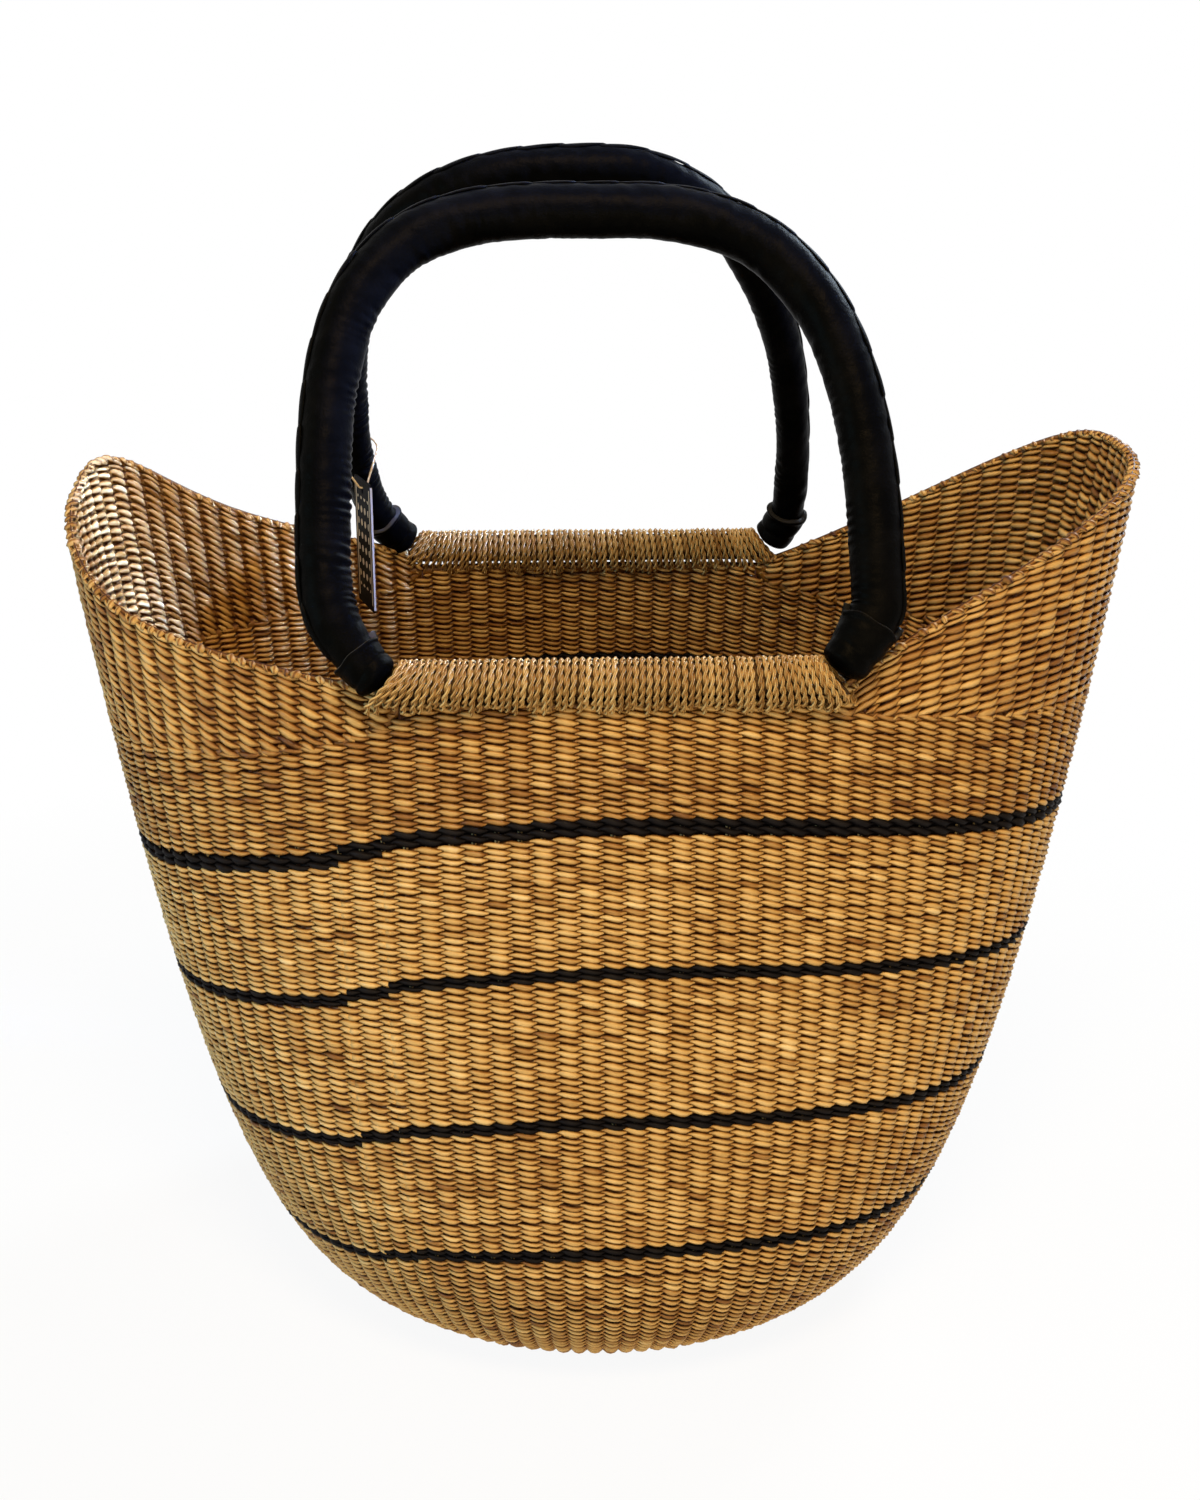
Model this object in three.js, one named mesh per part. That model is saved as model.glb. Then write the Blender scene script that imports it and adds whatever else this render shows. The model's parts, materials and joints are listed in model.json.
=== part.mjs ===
// Straw tote bag: a twined straw wall on a round base mat, two raised side wings,
// a wound grip along the front and the rear of the mouth, and two leather bow handles.
// Millimetres, +Z up, +X to the right of the front, origin under the middle of the base.
import * as THREE from 'three';

// Fits
const CLEARANCE = 0.3;
const WALL = 5;

// Straw wall
const BASE_RADIUS = 96;
const GRIP_AXIS_HEIGHT = 306.5;
const MOUTH_HALF_WIDTH = 219.8;
const MOUTH_HALF_DEPTH = 109;
const BELLY = 49.6;
const SIDE_FLARE = 0.36;
const BELLY_LIFT = 0.45;
const BASE_FULLNESS = 2;
const MOUTH_FULLNESS = 2.5;

// Dark stripes, measured up the wall from the edge of the base mat
const STRIPE_CLIMBS = [94, 152, 214, 272.6];
const STRIPE_WIDTHS = [4.8, 4.8, 4.8, 6.6];
const ROW_TILT_TO_SIDE = 5.9;
const ROW_LIFT_AT_FRONT = 6.7;

// Wings, angles in degrees round the wall from the middle of each side
const WING_SPAN = 64.2;
const WING_END_SHARE = 0.985;
const SHOULDER_DROP = 27;
const SHOULDER_FULLNESS = 0.4;
const WING_BORDER_RADIUS = 2.8;
const WING_TIP_SHARPNESS = 6;
const WINGS = [
  { name: 'left', side: Math.PI, peak: 63, peakTurn: 17, tip: 0.45, frontFullness: 1, rearFullness: 1.35 },
  { name: 'right', side: 0, peak: 74.2, peakTurn: 10, tip: 0, frontFullness: 0.65, rearFullness: 0.8 },
];

// Wound grips on the rim
const GRIP_LENGTH = 170;
const GRIP_RADIUS = 9.25;
const WRAP_TURNS = 24;
const WRAP_STEPS = 10;
const WRAP_THICKNESS = 2.5;
const WRAP_WIDTH = 6;
const WRAP_SHOULDER = 0.85;
const WRAP_CROWN = 0.5;
const WRAP_CLEARANCE = 0.35;
const WRAP_END_INSET = 1;

// Handles, each side's spread measured outward from the end of the grip
const HANDLE_CORE_PIN_RADIUS = 3;
const HANDLE_PIN_LENGTH = 30;
const HANDLE_PIN_CLEARANCE = 0.1;
const HANDLE_PIN_END_PLAY = 1;
const HANDLE_END_GAP = 0.6;
const ELBOW_RISE = 18;
const COVER_THICKNESS = 1.8;
const CUFF_THICKNESS = 1.3;
const CUFF_FOLD = 0.7;
const CUFF_FOLD_DEPTH = 3;
const LACING_WIDTH = 5;
const LACING_HEIGHT = 1.9;
const LACING_LOBE_PITCH = 17;
const LACING_TURN = 18;
const LACING_LOW_SHARE = 0.45;
const LACING_NARROW_SHARE = 0.75;
const LACING_RIDGE_SHARE = 0.6;
const LEG_TOP = 60;
const HANDLES = [
  {
    name: 'front', facing: -1, lean: 26, rise: 188, footRadius: 7.7, legRadius: 10.4, bowRadius: 10.6,
    left: { spread: 25.6, widestRise: 48, footDrawIn: 11, bowFullness: 3.5, cuffRise: 15 },
    right: { spread: 19, widestRise: 30, footDrawIn: 5, bowFullness: 2.85, cuffRise: 23 },
  },
  {
    name: 'rear', facing: 1, lean: 23, rise: 198, footRadius: 7.4, legRadius: 7.8, bowRadius: 9.6,
    left: { spread: 26.5, widestRise: 74, footDrawIn: 16, bowFullness: 2.75, cuffRise: 18 },
    right: { spread: 11.5, widestRise: 26, footDrawIn: 1, bowFullness: 2.2, cuffRise: 21 },
  },
];

// Hang tag on the rear handle's left leg
const TAG_WIDTH = 30;
const TAG_LENGTH = 60;
const TAG_THICKNESS = 0.9;
const TAG_CORNER = 2;
const TAG_HOLE_RADIUS = 2;
const TAG_HOLE_INSET = 5;
const STRING_RADIUS = 0.6;
const STRING_RISE = 58;
const STRING_REACH = 27;
const STRING_DROP = 30;
const STRING_BEARING = 281;
const TAG_BEARING = 288;

const rad = THREE.MathUtils.degToRad;
const smooth = (share) => THREE.MathUtils.smoothstep(share, 0, 1);

// Finishes
const finish = (color, roughness) => new THREE.MeshStandardMaterial({ color, roughness, metalness: 0 });
const STRAW = finish(0xb98f52, 0.75);
const DARK_STRAW = finish(0x1d1612, 0.7);
const GRIP_CORD = finish(0xcaa878, 0.8);
const GRASS_CORE = finish(0xa48a5a, 0.9);
const LEATHER = finish(0x14130f, 0.42);
const CARD = finish(0x17130f, 0.6);
const TWINE = finish(0xb99a6b, 0.9);

// Faces between neighbouring loops of points, with caps unless the row of loops closes on itself
function loft(loops, closed = false) {
  const count = loops[0].length;
  const index = [];
  const quad = (a, b, c, d) => index.push(a, b, c, a, c, d);
  const cap = (start, flip) => {
    for (let low = 0, high = count - 1; high - low >= 2; low++, high--) {
      const corners = [start + low, start + low + 1, start + high];
      index.push(...(flip ? corners.reverse() : corners));
      if (high - low >= 3) {
        const rest = [start + low + 1, start + high - 1, start + high];
        index.push(...(flip ? rest.reverse() : rest));
      }
    }
  };
  const last = closed ? loops.length : loops.length - 1;
  for (let i = 0; i < last; i++) {
    const here = i * count;
    const next = ((i + 1) % loops.length) * count;
    for (let k = 0; k < count; k++) {
      const k1 = (k + 1) % count;
      quad(here + k, here + k1, next + k1, next + k);
    }
  }
  if (!closed) {
    cap(0, true);
    cap((loops.length - 1) * count, false);
  }
  const geometry = new THREE.BufferGeometry().setFromPoints(loops.flat());
  geometry.setIndex(index);
  return faceOutward(geometry);
}

// Turns a closed geometry right side out by the sign of its volume
function faceOutward(geometry) {
  const at = geometry.attributes.position;
  const index = geometry.index.array;
  const [a, b, c] = [new THREE.Vector3(), new THREE.Vector3(), new THREE.Vector3()];
  let volume = 0;
  for (let i = 0; i < index.length; i += 3) {
    a.fromBufferAttribute(at, index[i]);
    b.fromBufferAttribute(at, index[i + 1]);
    c.fromBufferAttribute(at, index[i + 2]);
    volume += a.dot(b.cross(c));
  }
  if (volume < 0) {
    geometry.setIndex(Array.from(index).reverse());
  }
  geometry.computeVertexNormals();
  return geometry;
}

function part(name, geometry, material) {
  const mesh = new THREE.Mesh(geometry, material);
  mesh.name = name;
  return mesh;
}

const bag = new THREE.Group();

// The straw wall's outer face: an oval that changes from the round base to the wide mouth
const wallTop = GRIP_AXIS_HEIGHT - GRIP_RADIUS - CLEARANCE;

function section(height) {
  const share = height / GRIP_AXIS_HEIGHT;
  return {
    halfWidth: BASE_RADIUS + (MOUTH_HALF_WIDTH - BASE_RADIUS) * share ** SIDE_FLARE,
    halfDepth: BASE_RADIUS + (MOUTH_HALF_DEPTH - BASE_RADIUS) * share
      + BELLY * Math.sin(Math.PI * share ** BELLY_LIFT),
    power: 2 / (BASE_FULLNESS + (MOUTH_FULLNESS - BASE_FULLNESS) * share),
  };
}

function outerPoint(angle, height) {
  const { halfWidth, halfDepth, power } = section(height);
  const oval = (value) => Math.sign(value) * Math.abs(value) ** power;
  return new THREE.Vector3(halfWidth * oval(Math.cos(angle)), halfDepth * oval(Math.sin(angle)), height);
}

function wallNormal(angle, height) {
  const turn = 0.02;
  const lift = 0.5;
  const low = Math.max(0, height - lift);
  const round = outerPoint(angle + turn, height).sub(outerPoint(angle - turn, height));
  const up = outerPoint(angle, height + lift).sub(outerPoint(angle, low));
  return round.cross(up).normalize();
}

const innerPoint = (angle, height, depth = WALL) =>
  outerPoint(angle, height).addScaledVector(wallNormal(angle, height), -depth);

// Height that a row reaches once it has climbed a length up the wall at one angle
const CLIMB_STEPS = 90;
const CLIMB_GRADING = 2.2;
const climbTables = new Map();

function climbTable(angle) {
  if (!climbTables.has(angle)) {
    const heights = [0];
    const lengths = [0];
    for (let i = 1; i <= CLIMB_STEPS; i++) {
      heights.push(GRIP_AXIS_HEIGHT * (i / CLIMB_STEPS) ** CLIMB_GRADING);
      const step = outerPoint(angle, heights[i]).distanceTo(outerPoint(angle, heights[i - 1]));
      lengths.push(lengths[i - 1] + step);
    }
    climbTables.set(angle, { heights, lengths });
  }
  return climbTables.get(angle);
}

function climbedHeight(angle, climb) {
  const { heights, lengths } = climbTable(angle);
  const above = Math.max(1, lengths.findIndex((length) => length >= climb));
  const share = (climb - lengths[above - 1]) / (lengths[above] - lengths[above - 1]);
  return THREE.MathUtils.lerp(heights[above - 1], heights[above], share);
}

// Woven rows lie a little higher at the right and at the front and rear than at the sides
function rowHeight(angle, climb) {
  const settle = Math.min(1, climb / STRIPE_CLIMBS[0]);
  const lean = ROW_TILT_TO_SIDE * Math.cos(angle) - ROW_LIFT_AT_FRONT * Math.cos(2 * angle);
  return climbedHeight(angle, Math.max(0, climb + settle * lean));
}

// Angles of the columns, with each wing's own columns closer together at its ends
const SIDE_COLUMNS = 14;
const FACE_COLUMNS = 4;

const wingShares = Array.from({ length: SIDE_COLUMNS + 1 }, (_, i) => {
  const even = (2 * i) / SIDE_COLUMNS - 1;
  return WING_END_SHARE * (0.5 * even + 0.5 * Math.sin((Math.PI / 2) * even));
});

function columnAngles() {
  const span = rad(WING_SPAN);
  const face = (start) => Array.from({ length: FACE_COLUMNS + 1 },
    (_, i) => start + span + ((Math.PI - 2 * span) * i) / FACE_COLUMNS);
  const side = (middle) => wingShares.map((share) => middle + share * span);
  return [...side(0), ...face(0), ...side(Math.PI), ...face(Math.PI)];
}

const columns = columnAngles();

// Top of the level rows: straight under the grips, and lower under each wing
function shoulderHeight(angle) {
  const fromSide = Math.abs(Math.atan2(Math.sin(angle), Math.abs(Math.cos(angle))));
  const share = fromSide / rad(WING_SPAN);
  if (share >= 1) {
    return wallTop;
  }
  return wallTop - SHOULDER_DROP * Math.cos((Math.PI / 2) * share) ** SHOULDER_FULLNESS;
}

// A ring of the wall between two edges, heightAt(angle, share) giving the rows between them
function wallRing(rows, heightAt) {
  return loft(columns.map((angle) => {
    const heights = Array.from({ length: rows + 1 }, (_, i) => heightAt(angle, i / rows));
    const outer = heights.map((height) => outerPoint(angle, height));
    const inner = heights.map((height) => innerPoint(angle, height));
    return [...outer, ...inner.reverse()];
  }), true);
}

const between = (low, high) => (angle, share) =>
  rowHeight(angle, THREE.MathUtils.lerp(low + CLEARANCE / 2, high - CLEARANCE / 2, share));

// Base mat: a flat round of the same weave, a little dished at its rim
function baseMat() {
  const edge = BASE_RADIUS - CLEARANCE;
  const ease = 1;
  const profile = [[0, 0], [edge - ease, 0], [edge, ease], [edge, WALL - ease], [edge - ease, WALL], [0, WALL]];
  const mat = new THREE.LatheGeometry(profile.map(([x, y]) => new THREE.Vector2(x, y)), 40);
  return mat.rotateX(Math.PI / 2);
}

bag.add(part('base_mat', baseMat(), STRAW));

const stripeEdges = STRIPE_CLIMBS.map((climb, i) => [climb - STRIPE_WIDTHS[i] / 2, climb + STRIPE_WIDTHS[i] / 2]);
const BAND_ROWS = [5, 2, 2, 2];
stripeEdges.forEach(([low, high], i) => {
  const floor = i === 0 ? 0 : stripeEdges[i - 1][1];
  bag.add(part(`wall_band_${i + 1}`, wallRing(BAND_ROWS[i], between(floor, low)), STRAW));
  bag.add(part(`stripe_${i + 1}`, wallRing(1, between(low, high)), DARK_STRAW));
});

const topStripeEdge = stripeEdges[stripeEdges.length - 1][1];
const topBand = wallRing(2, (angle, share) => THREE.MathUtils.lerp(
  rowHeight(angle, topStripeEdge + CLEARANCE / 2), shoulderHeight(angle), share));
bag.add(part(`wall_band_${STRIPE_CLIMBS.length + 1}`, topBand, STRAW));

// Wings: the wall goes on upward at each side to a saddle shaped rim
function wingRise(wing, turn) {
  const fromPeak = turn - rad(wing.peakTurn);
  const reach = rad(WING_SPAN) - Math.sign(fromPeak) * rad(wing.peakTurn);
  const fall = Math.cos(((Math.PI / 2) * Math.abs(fromPeak)) / reach);
  if (fromPeak > 0) {
    return wing.peak * fall ** wing.rearFullness;
  }
  const slope = fall ** wing.frontFullness;
  return wing.peak * THREE.MathUtils.lerp(slope, fall ** WING_TIP_SHARPNESS, wing.tip);
}

// A wing's turn runs from the front to the rear on either side
const wingAngle = (wing, turn) => (wing.side === 0 ? turn : wing.side - turn);
const wingRim = (wing, turn) => wallTop + wingRise(wing, turn);
const WING_ROWS = 4;

function wingSolid(wing) {
  return loft(wingShares.map((share) => {
    const turn = share * rad(WING_SPAN);
    const angle = wingAngle(wing, turn);
    const floor = shoulderHeight(angle) + CLEARANCE;
    const heights = Array.from({ length: WING_ROWS + 1 },
      (_, i) => THREE.MathUtils.lerp(floor, wingRim(wing, turn), i / WING_ROWS));
    const outer = heights.map((height) => outerPoint(angle, height));
    const inner = heights.map((height) => innerPoint(angle, height));
    return [...outer, ...inner.reverse()];
  }));
}

// Border along a wing's rim: a rolled edge seated on the middle of the wall's thickness
function wingBorder(wing) {
  const sides = 6;
  const seat = WING_BORDER_RADIUS + CLEARANCE;
  const places = wingShares.map((share) => {
    const turn = share * rad(WING_SPAN);
    const angle = wingAngle(wing, turn);
    const height = wingRim(wing, turn);
    return { middle: innerPoint(angle, height, WALL / 2), out: wallNormal(angle, height) };
  });
  return loft(places.map(({ middle, out }, i) => {
    const before = places[Math.max(0, i - 1)].middle;
    const after = places[Math.min(places.length - 1, i + 1)].middle;
    const along = after.clone().sub(before).normalize();
    const up = along.clone().cross(out);
    if (up.z < 0) {
      up.negate();
    }
    return Array.from({ length: sides }, (_, k) => {
      const turn = (2 * Math.PI * k) / sides;
      return middle.clone()
        .addScaledVector(up, seat + WING_BORDER_RADIUS * Math.cos(turn))
        .addScaledVector(out, WING_BORDER_RADIUS * Math.sin(turn));
    });
  }));
}

WINGS.forEach((wing) => {
  bag.add(part(`${wing.name}_wing`, wingSolid(wing), STRAW));
  bag.add(part(`${wing.name}_wing_border`, wingBorder(wing), STRAW));
});

// Grips: a bored grass bundle over the wall's top edge, wound with one unbroken cord
const gripOffset = section(wallTop).halfDepth - WALL / 2;
const bundleRadius = GRIP_RADIUS - WRAP_THICKNESS - WRAP_CLEARANCE;
const boreRadius = HANDLE_CORE_PIN_RADIUS + HANDLE_PIN_CLEARANCE;
const boreDepth = HANDLE_PIN_LENGTH + HANDLE_PIN_END_PLAY;

function rimBundle() {
  const half = GRIP_LENGTH / 2;
  const profile = [
    [0, -half + boreDepth], [boreRadius, -half + boreDepth], [boreRadius, -half], [bundleRadius, -half],
    [bundleRadius, half], [boreRadius, half], [boreRadius, half - boreDepth], [0, half - boreDepth],
  ];
  const bundle = new THREE.LatheGeometry(profile.map(([x, y]) => new THREE.Vector2(x, y)), 16);
  return bundle.rotateZ(-Math.PI / 2);
}

// The wound cord starts and ends in a straight run, down the inside and down the outside of the grip
function rimWrap() {
  const middle = bundleRadius + WRAP_CLEARANCE + WRAP_THICKNESS / 2;
  const run = GRIP_LENGTH - 2 * WRAP_END_INSET - WRAP_WIDTH;
  const halfThick = WRAP_THICKNESS / 2;
  const halfWide = WRAP_WIDTH / 2;
  const outline = [[-halfWide, -halfThick], [halfWide, -halfThick], [halfWide * WRAP_SHOULDER, halfThick * WRAP_CROWN],
    [0, halfThick], [-halfWide * WRAP_SHOULDER, halfThick * WRAP_CROWN]];
  const ring = (x, turn, sink) => outline.map(([wide, thick]) => {
    const out = new THREE.Vector3(0, Math.cos(turn), Math.sin(turn));
    const point = out.multiplyScalar(middle + thick);
    return point.add(new THREE.Vector3(x + wide, 0, -sink));
  });
  const total = (WRAP_TURNS - 0.5) * WRAP_STEPS;
  const rings = [ring(-run / 2, 0, WRAP_THICKNESS)];
  for (let i = 0; i <= total; i++) {
    rings.push(ring(-run / 2 + (run * i) / total, (2 * Math.PI * i) / WRAP_STEPS, 0));
  }
  rings.push(ring(run / 2, 2 * Math.PI * (WRAP_TURNS - 0.5), WRAP_THICKNESS));
  return { geometry: loft(rings), gap: leastTurnGap(rings) };
}

// Least distance between points of neighbouring turns of the wound cord
function leastTurnGap(rings) {
  let least = Infinity;
  rings.forEach((ring, i) => {
    for (let j = i + WRAP_STEPS - 1; j < Math.min(rings.length, i + WRAP_STEPS + 2); j++) {
      ring.forEach((point) => rings[j].forEach((other) => {
        least = Math.min(least, point.distanceTo(other));
      }));
    }
  });
  return least;
}

[['front', -1], ['rear', 1]].forEach(([name, facing]) => {
  const grip = new THREE.Group();
  grip.position.set(0, facing * gripOffset, GRIP_AXIS_HEIGHT);
  const wrap = rimWrap();
  grip.add(part(`${name}_rim_bundle`, rimBundle(), GRASS_CORE));
  grip.add(part(`${name}_rim_wrap`, wrap.geometry, GRIP_CORD));
  bag.add(grip);
  console.log(`${name} rim wrap: least gap between turns ${wrap.gap.toFixed(2)} mm`);
});

// One side of a handle's middle line from its foot to the top of the bow, x across and y up from the grip's axis
const ELBOW_STEPS = 6;
const LEG_STEPS = 3;
const BOW_STEPS = 9;
const BOW_GRADING = 1.3;

function handleSide({ rise }, { spread, widestRise, footDrawIn, bowFullness }) {
  const start = GRIP_LENGTH / 2 + HANDLE_END_GAP;
  const halfWidth = GRIP_LENGTH / 2 + spread;
  const legX = (height) => halfWidth - footDrawIn * ((widestRise - height) / widestRise) ** 2;
  const slope = (2 * footDrawIn * (widestRise - ELBOW_RISE)) / widestRise ** 2;
  const elbowTop = new THREE.Vector2(legX(ELBOW_RISE), ELBOW_RISE);
  const corner = new THREE.Vector2(elbowTop.x - slope * ELBOW_RISE, 0);
  const elbow = new THREE.QuadraticBezierCurve(new THREE.Vector2(start, 0), corner, elbowTop);
  const points = elbow.getPoints(ELBOW_STEPS);
  for (let i = 1; i < LEG_STEPS; i++) {
    const height = THREE.MathUtils.lerp(ELBOW_RISE, widestRise, i / LEG_STEPS);
    points.push(new THREE.Vector2(legX(height), height));
  }
  for (let i = 0; i <= BOW_STEPS; i++) {
    const turn = (Math.PI / 2) * (i / BOW_STEPS) ** BOW_GRADING;
    const x = i < BOW_STEPS ? halfWidth * Math.cos(turn) ** (2 / bowFullness) : 0;
    points.push(new THREE.Vector2(x, widestRise + (rise - widestRise) * Math.sin(turn) ** (2 / bowFullness)));
  }
  return points;
}

function handleLine(handle) {
  const left = handleSide(handle, handle.left).map((point) => new THREE.Vector2(-point.x, point.y));
  const right = handleSide(handle, handle.right).reverse();
  return withNormals([...left, ...right.slice(1)]);
}

// Adds each point's outward normal in the plane, its distance from the nearer end and its place
function withNormals(points) {
  const lengths = [0];
  points.forEach((point, i) => {
    if (i > 0) {
      lengths.push(lengths[i - 1] + point.distanceTo(points[i - 1]));
    }
  });
  const total = lengths[lengths.length - 1];
  return points.map((point, i) => {
    const before = points[Math.max(0, i - 1)];
    const after = points[Math.min(points.length - 1, i + 1)];
    const along = after.clone().sub(before).normalize();
    if (i === 0 || i === points.length - 1) {
      along.set(-1, 0);
    }
    const out = new THREE.Vector3(-along.y, 0, along.x);
    return { at: new THREE.Vector3(point.x, 0, point.y), out, fromEnd: Math.min(lengths[i], total - lengths[i]) };
  });
}

// Radius of the leather tube: slim at the feet, fuller on the legs and the bow
function tubeRadius(handle, height) {
  const leg = THREE.MathUtils.lerp(handle.footRadius, handle.legRadius, smooth(height / (2 * ELBOW_RISE)));
  const bowShare = smooth((height - LEG_TOP) / (handle.rise - LEG_TOP));
  return leg + (handle.bowRadius - handle.legRadius) * bowShare;
}

const side = new THREE.Vector3(0, 1, 0);

function tubeRing({ at, out }, radius, sides) {
  return Array.from({ length: sides }, (_, k) => {
    const turn = (2 * Math.PI * (k + 0.5)) / sides;
    return at.clone().addScaledVector(out, radius * Math.cos(turn)).addScaledVector(side, radius * Math.sin(turn));
  });
}

// A sleeve: an outer and an inner tube along one line, joined at both ends
function sleeve(line, outerRadius, innerRadius, sides) {
  const outer = line.map((place) => tubeRing(place, outerRadius(place), sides));
  const inner = line.map((place) => tubeRing(place, innerRadius(place), sides));
  const loops = Array.from({ length: sides }, (_, k) =>
    [...outer.map((ring) => ring[k]), ...inner.map((ring) => ring[k]).reverse()]);
  return loft(loops, true);
}

const TUBE_SIDES = 10;

function handleCover(handle, line) {
  const outer = ({ at }) => tubeRadius(handle, at.z);
  return sleeve(line, outer, (place) => outer(place) - COVER_THICKNESS, TUBE_SIDES);
}

// Grass core inside the cover, with a turned-in pin at each foot that pivots in the rim bundle
function handleCore(handle, line) {
  const sides = 6;
  const shrink = COVER_THICKNESS + 2 * CLEARANCE;
  const rings = line.map((place) => tubeRing(place, tubeRadius(handle, place.at.z) - shrink, sides));
  const pinRing = (x, direction) => tubeRing(
    { at: new THREE.Vector3(x, 0, 0), out: new THREE.Vector3(0, 0, direction) }, HANDLE_CORE_PIN_RADIUS, sides);
  const start = GRIP_LENGTH / 2 + HANDLE_END_GAP;
  const tip = GRIP_LENGTH / 2 - HANDLE_PIN_LENGTH;
  return loft([pinRing(-tip, -1), pinRing(-start, -1), ...rings, pinRing(start, -1), pinRing(tip, -1)]);
}

// The place on one side of a handle's line that reaches a height
function placeAt(line, direction, height) {
  const leg = line.filter(({ at }) => direction * at.x > 0).sort((a, b) => a.fromEnd - b.fromEnd);
  const above = leg.findIndex(({ at }) => at.z > height);
  const [low, high] = [leg[above - 1], leg[above]];
  const share = (height - low.at.z) / (high.at.z - low.at.z);
  return {
    at: low.at.clone().lerp(high.at, share),
    out: low.out.clone().lerp(high.out, share).normalize(),
    along: high.at.clone().sub(low.at).normalize(),
  };
}

// Leather cuff round a foot, with a folded upper edge
function handleCuff(handle, line, direction) {
  const { cuffRise } = direction < 0 ? handle.left : handle.right;
  const foldStart = cuffRise - CUFF_FOLD_DEPTH;
  const foot = line.filter(({ at }) => direction * at.x > 0 && at.z < foldStart - CLEARANCE)
    .sort((a, b) => a.fromEnd - b.fromEnd);
  const places = [...foot, placeAt(line, direction, foldStart), placeAt(line, direction, cuffRise)];
  const seat = ({ at }) => tubeRadius(handle, at.z) + CLEARANCE;
  const fold = ({ at }) => (at.z > foldStart - CLEARANCE ? CUFF_FOLD : 0);
  return sleeve(places, (place) => seat(place) + CUFF_THICKNESS + fold(place), seat, TUBE_SIDES);
}

// Laced seam: a raised strip along the outside of the bow, in overlapping lobes
const LOBE_SHARES = [0.06, 0.5, 0.94];

function handleLacing(handle, line) {
  const cuffRise = ({ at }) => (at.x < 0 ? handle.left : handle.right).cuffRise;
  const above = line.filter((place) => place.at.z > cuffRise(place) + LACING_WIDTH);
  const curve = new THREE.CatmullRomCurve3(above.map(({ at }) => at));
  const lobes = Math.round(curve.getLength() / LACING_LOBE_PITCH);
  const rings = [];
  for (let i = 0; i < lobes; i++) {
    LOBE_SHARES.forEach((share, step) => rings.push(lacingRing(handle, curve, (i + share) / lobes, step / 2)));
  }
  return loft(rings);
}

function lacingRing(handle, curve, share, lift) {
  const at = curve.getPointAt(share);
  const along = curve.getTangentAt(share);
  const flat = new THREE.Vector3(along.z, 0, -along.x).negate();
  const turn = rad(LACING_TURN) * -handle.facing;
  const out = flat.clone().multiplyScalar(Math.cos(turn)).addScaledVector(side, -Math.sin(turn));
  const across = out.clone().cross(along).normalize();
  const seat = tubeRadius(handle, at.z) + CLEARANCE;
  const high = seat + LACING_HEIGHT * THREE.MathUtils.lerp(LACING_LOW_SHARE, 1, lift);
  const half = (LACING_WIDTH / 2) * THREE.MathUtils.lerp(LACING_NARROW_SHARE, 1, lift);
  const ridge = half * LACING_RIDGE_SHARE;
  return [[-half, seat], [half, seat], [ridge, high], [-ridge, high]].map(([wide, far]) =>
    at.clone().addScaledVector(out, far).addScaledVector(across, wide));
}

const handleGroups = {};
HANDLES.forEach((handle) => {
  const group = new THREE.Group();
  group.position.set(0, handle.facing * gripOffset, GRIP_AXIS_HEIGHT);
  group.rotation.x = handle.facing * rad(handle.lean);
  const line = handleLine(handle);
  group.add(part(`${handle.name}_handle_core`, handleCore(handle, line), GRASS_CORE));
  group.add(part(`${handle.name}_handle_cover`, handleCover(handle, line), LEATHER));
  group.add(part(`${handle.name}_handle_lacing`, handleLacing(handle, line), LEATHER));
  group.add(part(`${handle.name}_left_cuff`, handleCuff(handle, line, -1), LEATHER));
  group.add(part(`${handle.name}_right_cuff`, handleCuff(handle, line, 1), LEATHER));
  bag.add(group);
  group.updateMatrixWorld(true);
  handleGroups[handle.name] = { group, line, handle };
});

// Hang tag: a twine loop round the leg and through the hole of a plain card
function stringLoop(bigRadius, smallRadius, distance) {
  const meet = Math.acos((bigRadius - smallRadius) / distance);
  const arc = (centre, radius, from, to, steps) => Array.from({ length: steps + 1 }, (_, i) => {
    const turn = THREE.MathUtils.lerp(from, to, i / steps);
    return new THREE.Vector2(centre + radius * Math.cos(turn), radius * Math.sin(turn));
  });
  return [
    ...arc(0, bigRadius, meet, 2 * Math.PI - meet, 14),
    ...arc(distance, smallRadius, -meet, meet, 6),
  ];
}

function hangTag() {
  const { group, line, handle } = handleGroups.rear;
  const leg = placeAt(line, -1, STRING_RISE);
  const ring = group.localToWorld(leg.at.clone());
  const legAlong = leg.along.clone().transformDirection(group.matrixWorld);
  const bearing = rad(STRING_BEARING);
  const toHole = new THREE.Vector3(Math.cos(bearing) * Math.cos(rad(STRING_DROP)),
    Math.sin(bearing) * Math.cos(rad(STRING_DROP)), -Math.sin(rad(STRING_DROP)));
  const across = legAlong.clone().cross(toHole).normalize();
  const legSeat = tubeRadius(handle, STRING_RISE) + LACING_HEIGHT + 2 * CLEARANCE + STRING_RADIUS;
  const loop = stringLoop(legSeat, TAG_HOLE_RADIUS, STRING_REACH - TAG_HOLE_RADIUS)
    .map((point) => ring.clone().addScaledVector(toHole, point.x).addScaledVector(across, point.y));
  const twine = part('tag_string', closedTube(loop, STRING_RADIUS, 6), TWINE);
  const card = part('hang_tag', cardSolid(), CARD);
  const hang = ring.clone().addScaledVector(toHole, STRING_REACH);
  card.rotation.z = rad(TAG_BEARING);
  card.position.copy(hang);
  card.position.z -= TAG_HOLE_RADIUS - STRING_RADIUS - CLEARANCE;
  console.log(`tag swing axis at ${ring.toArray().map((v) => v.toFixed(2))} along`
    + ` ${legAlong.toArray().map((v) => v.toFixed(4))}`);
  return [twine, card];
}

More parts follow.
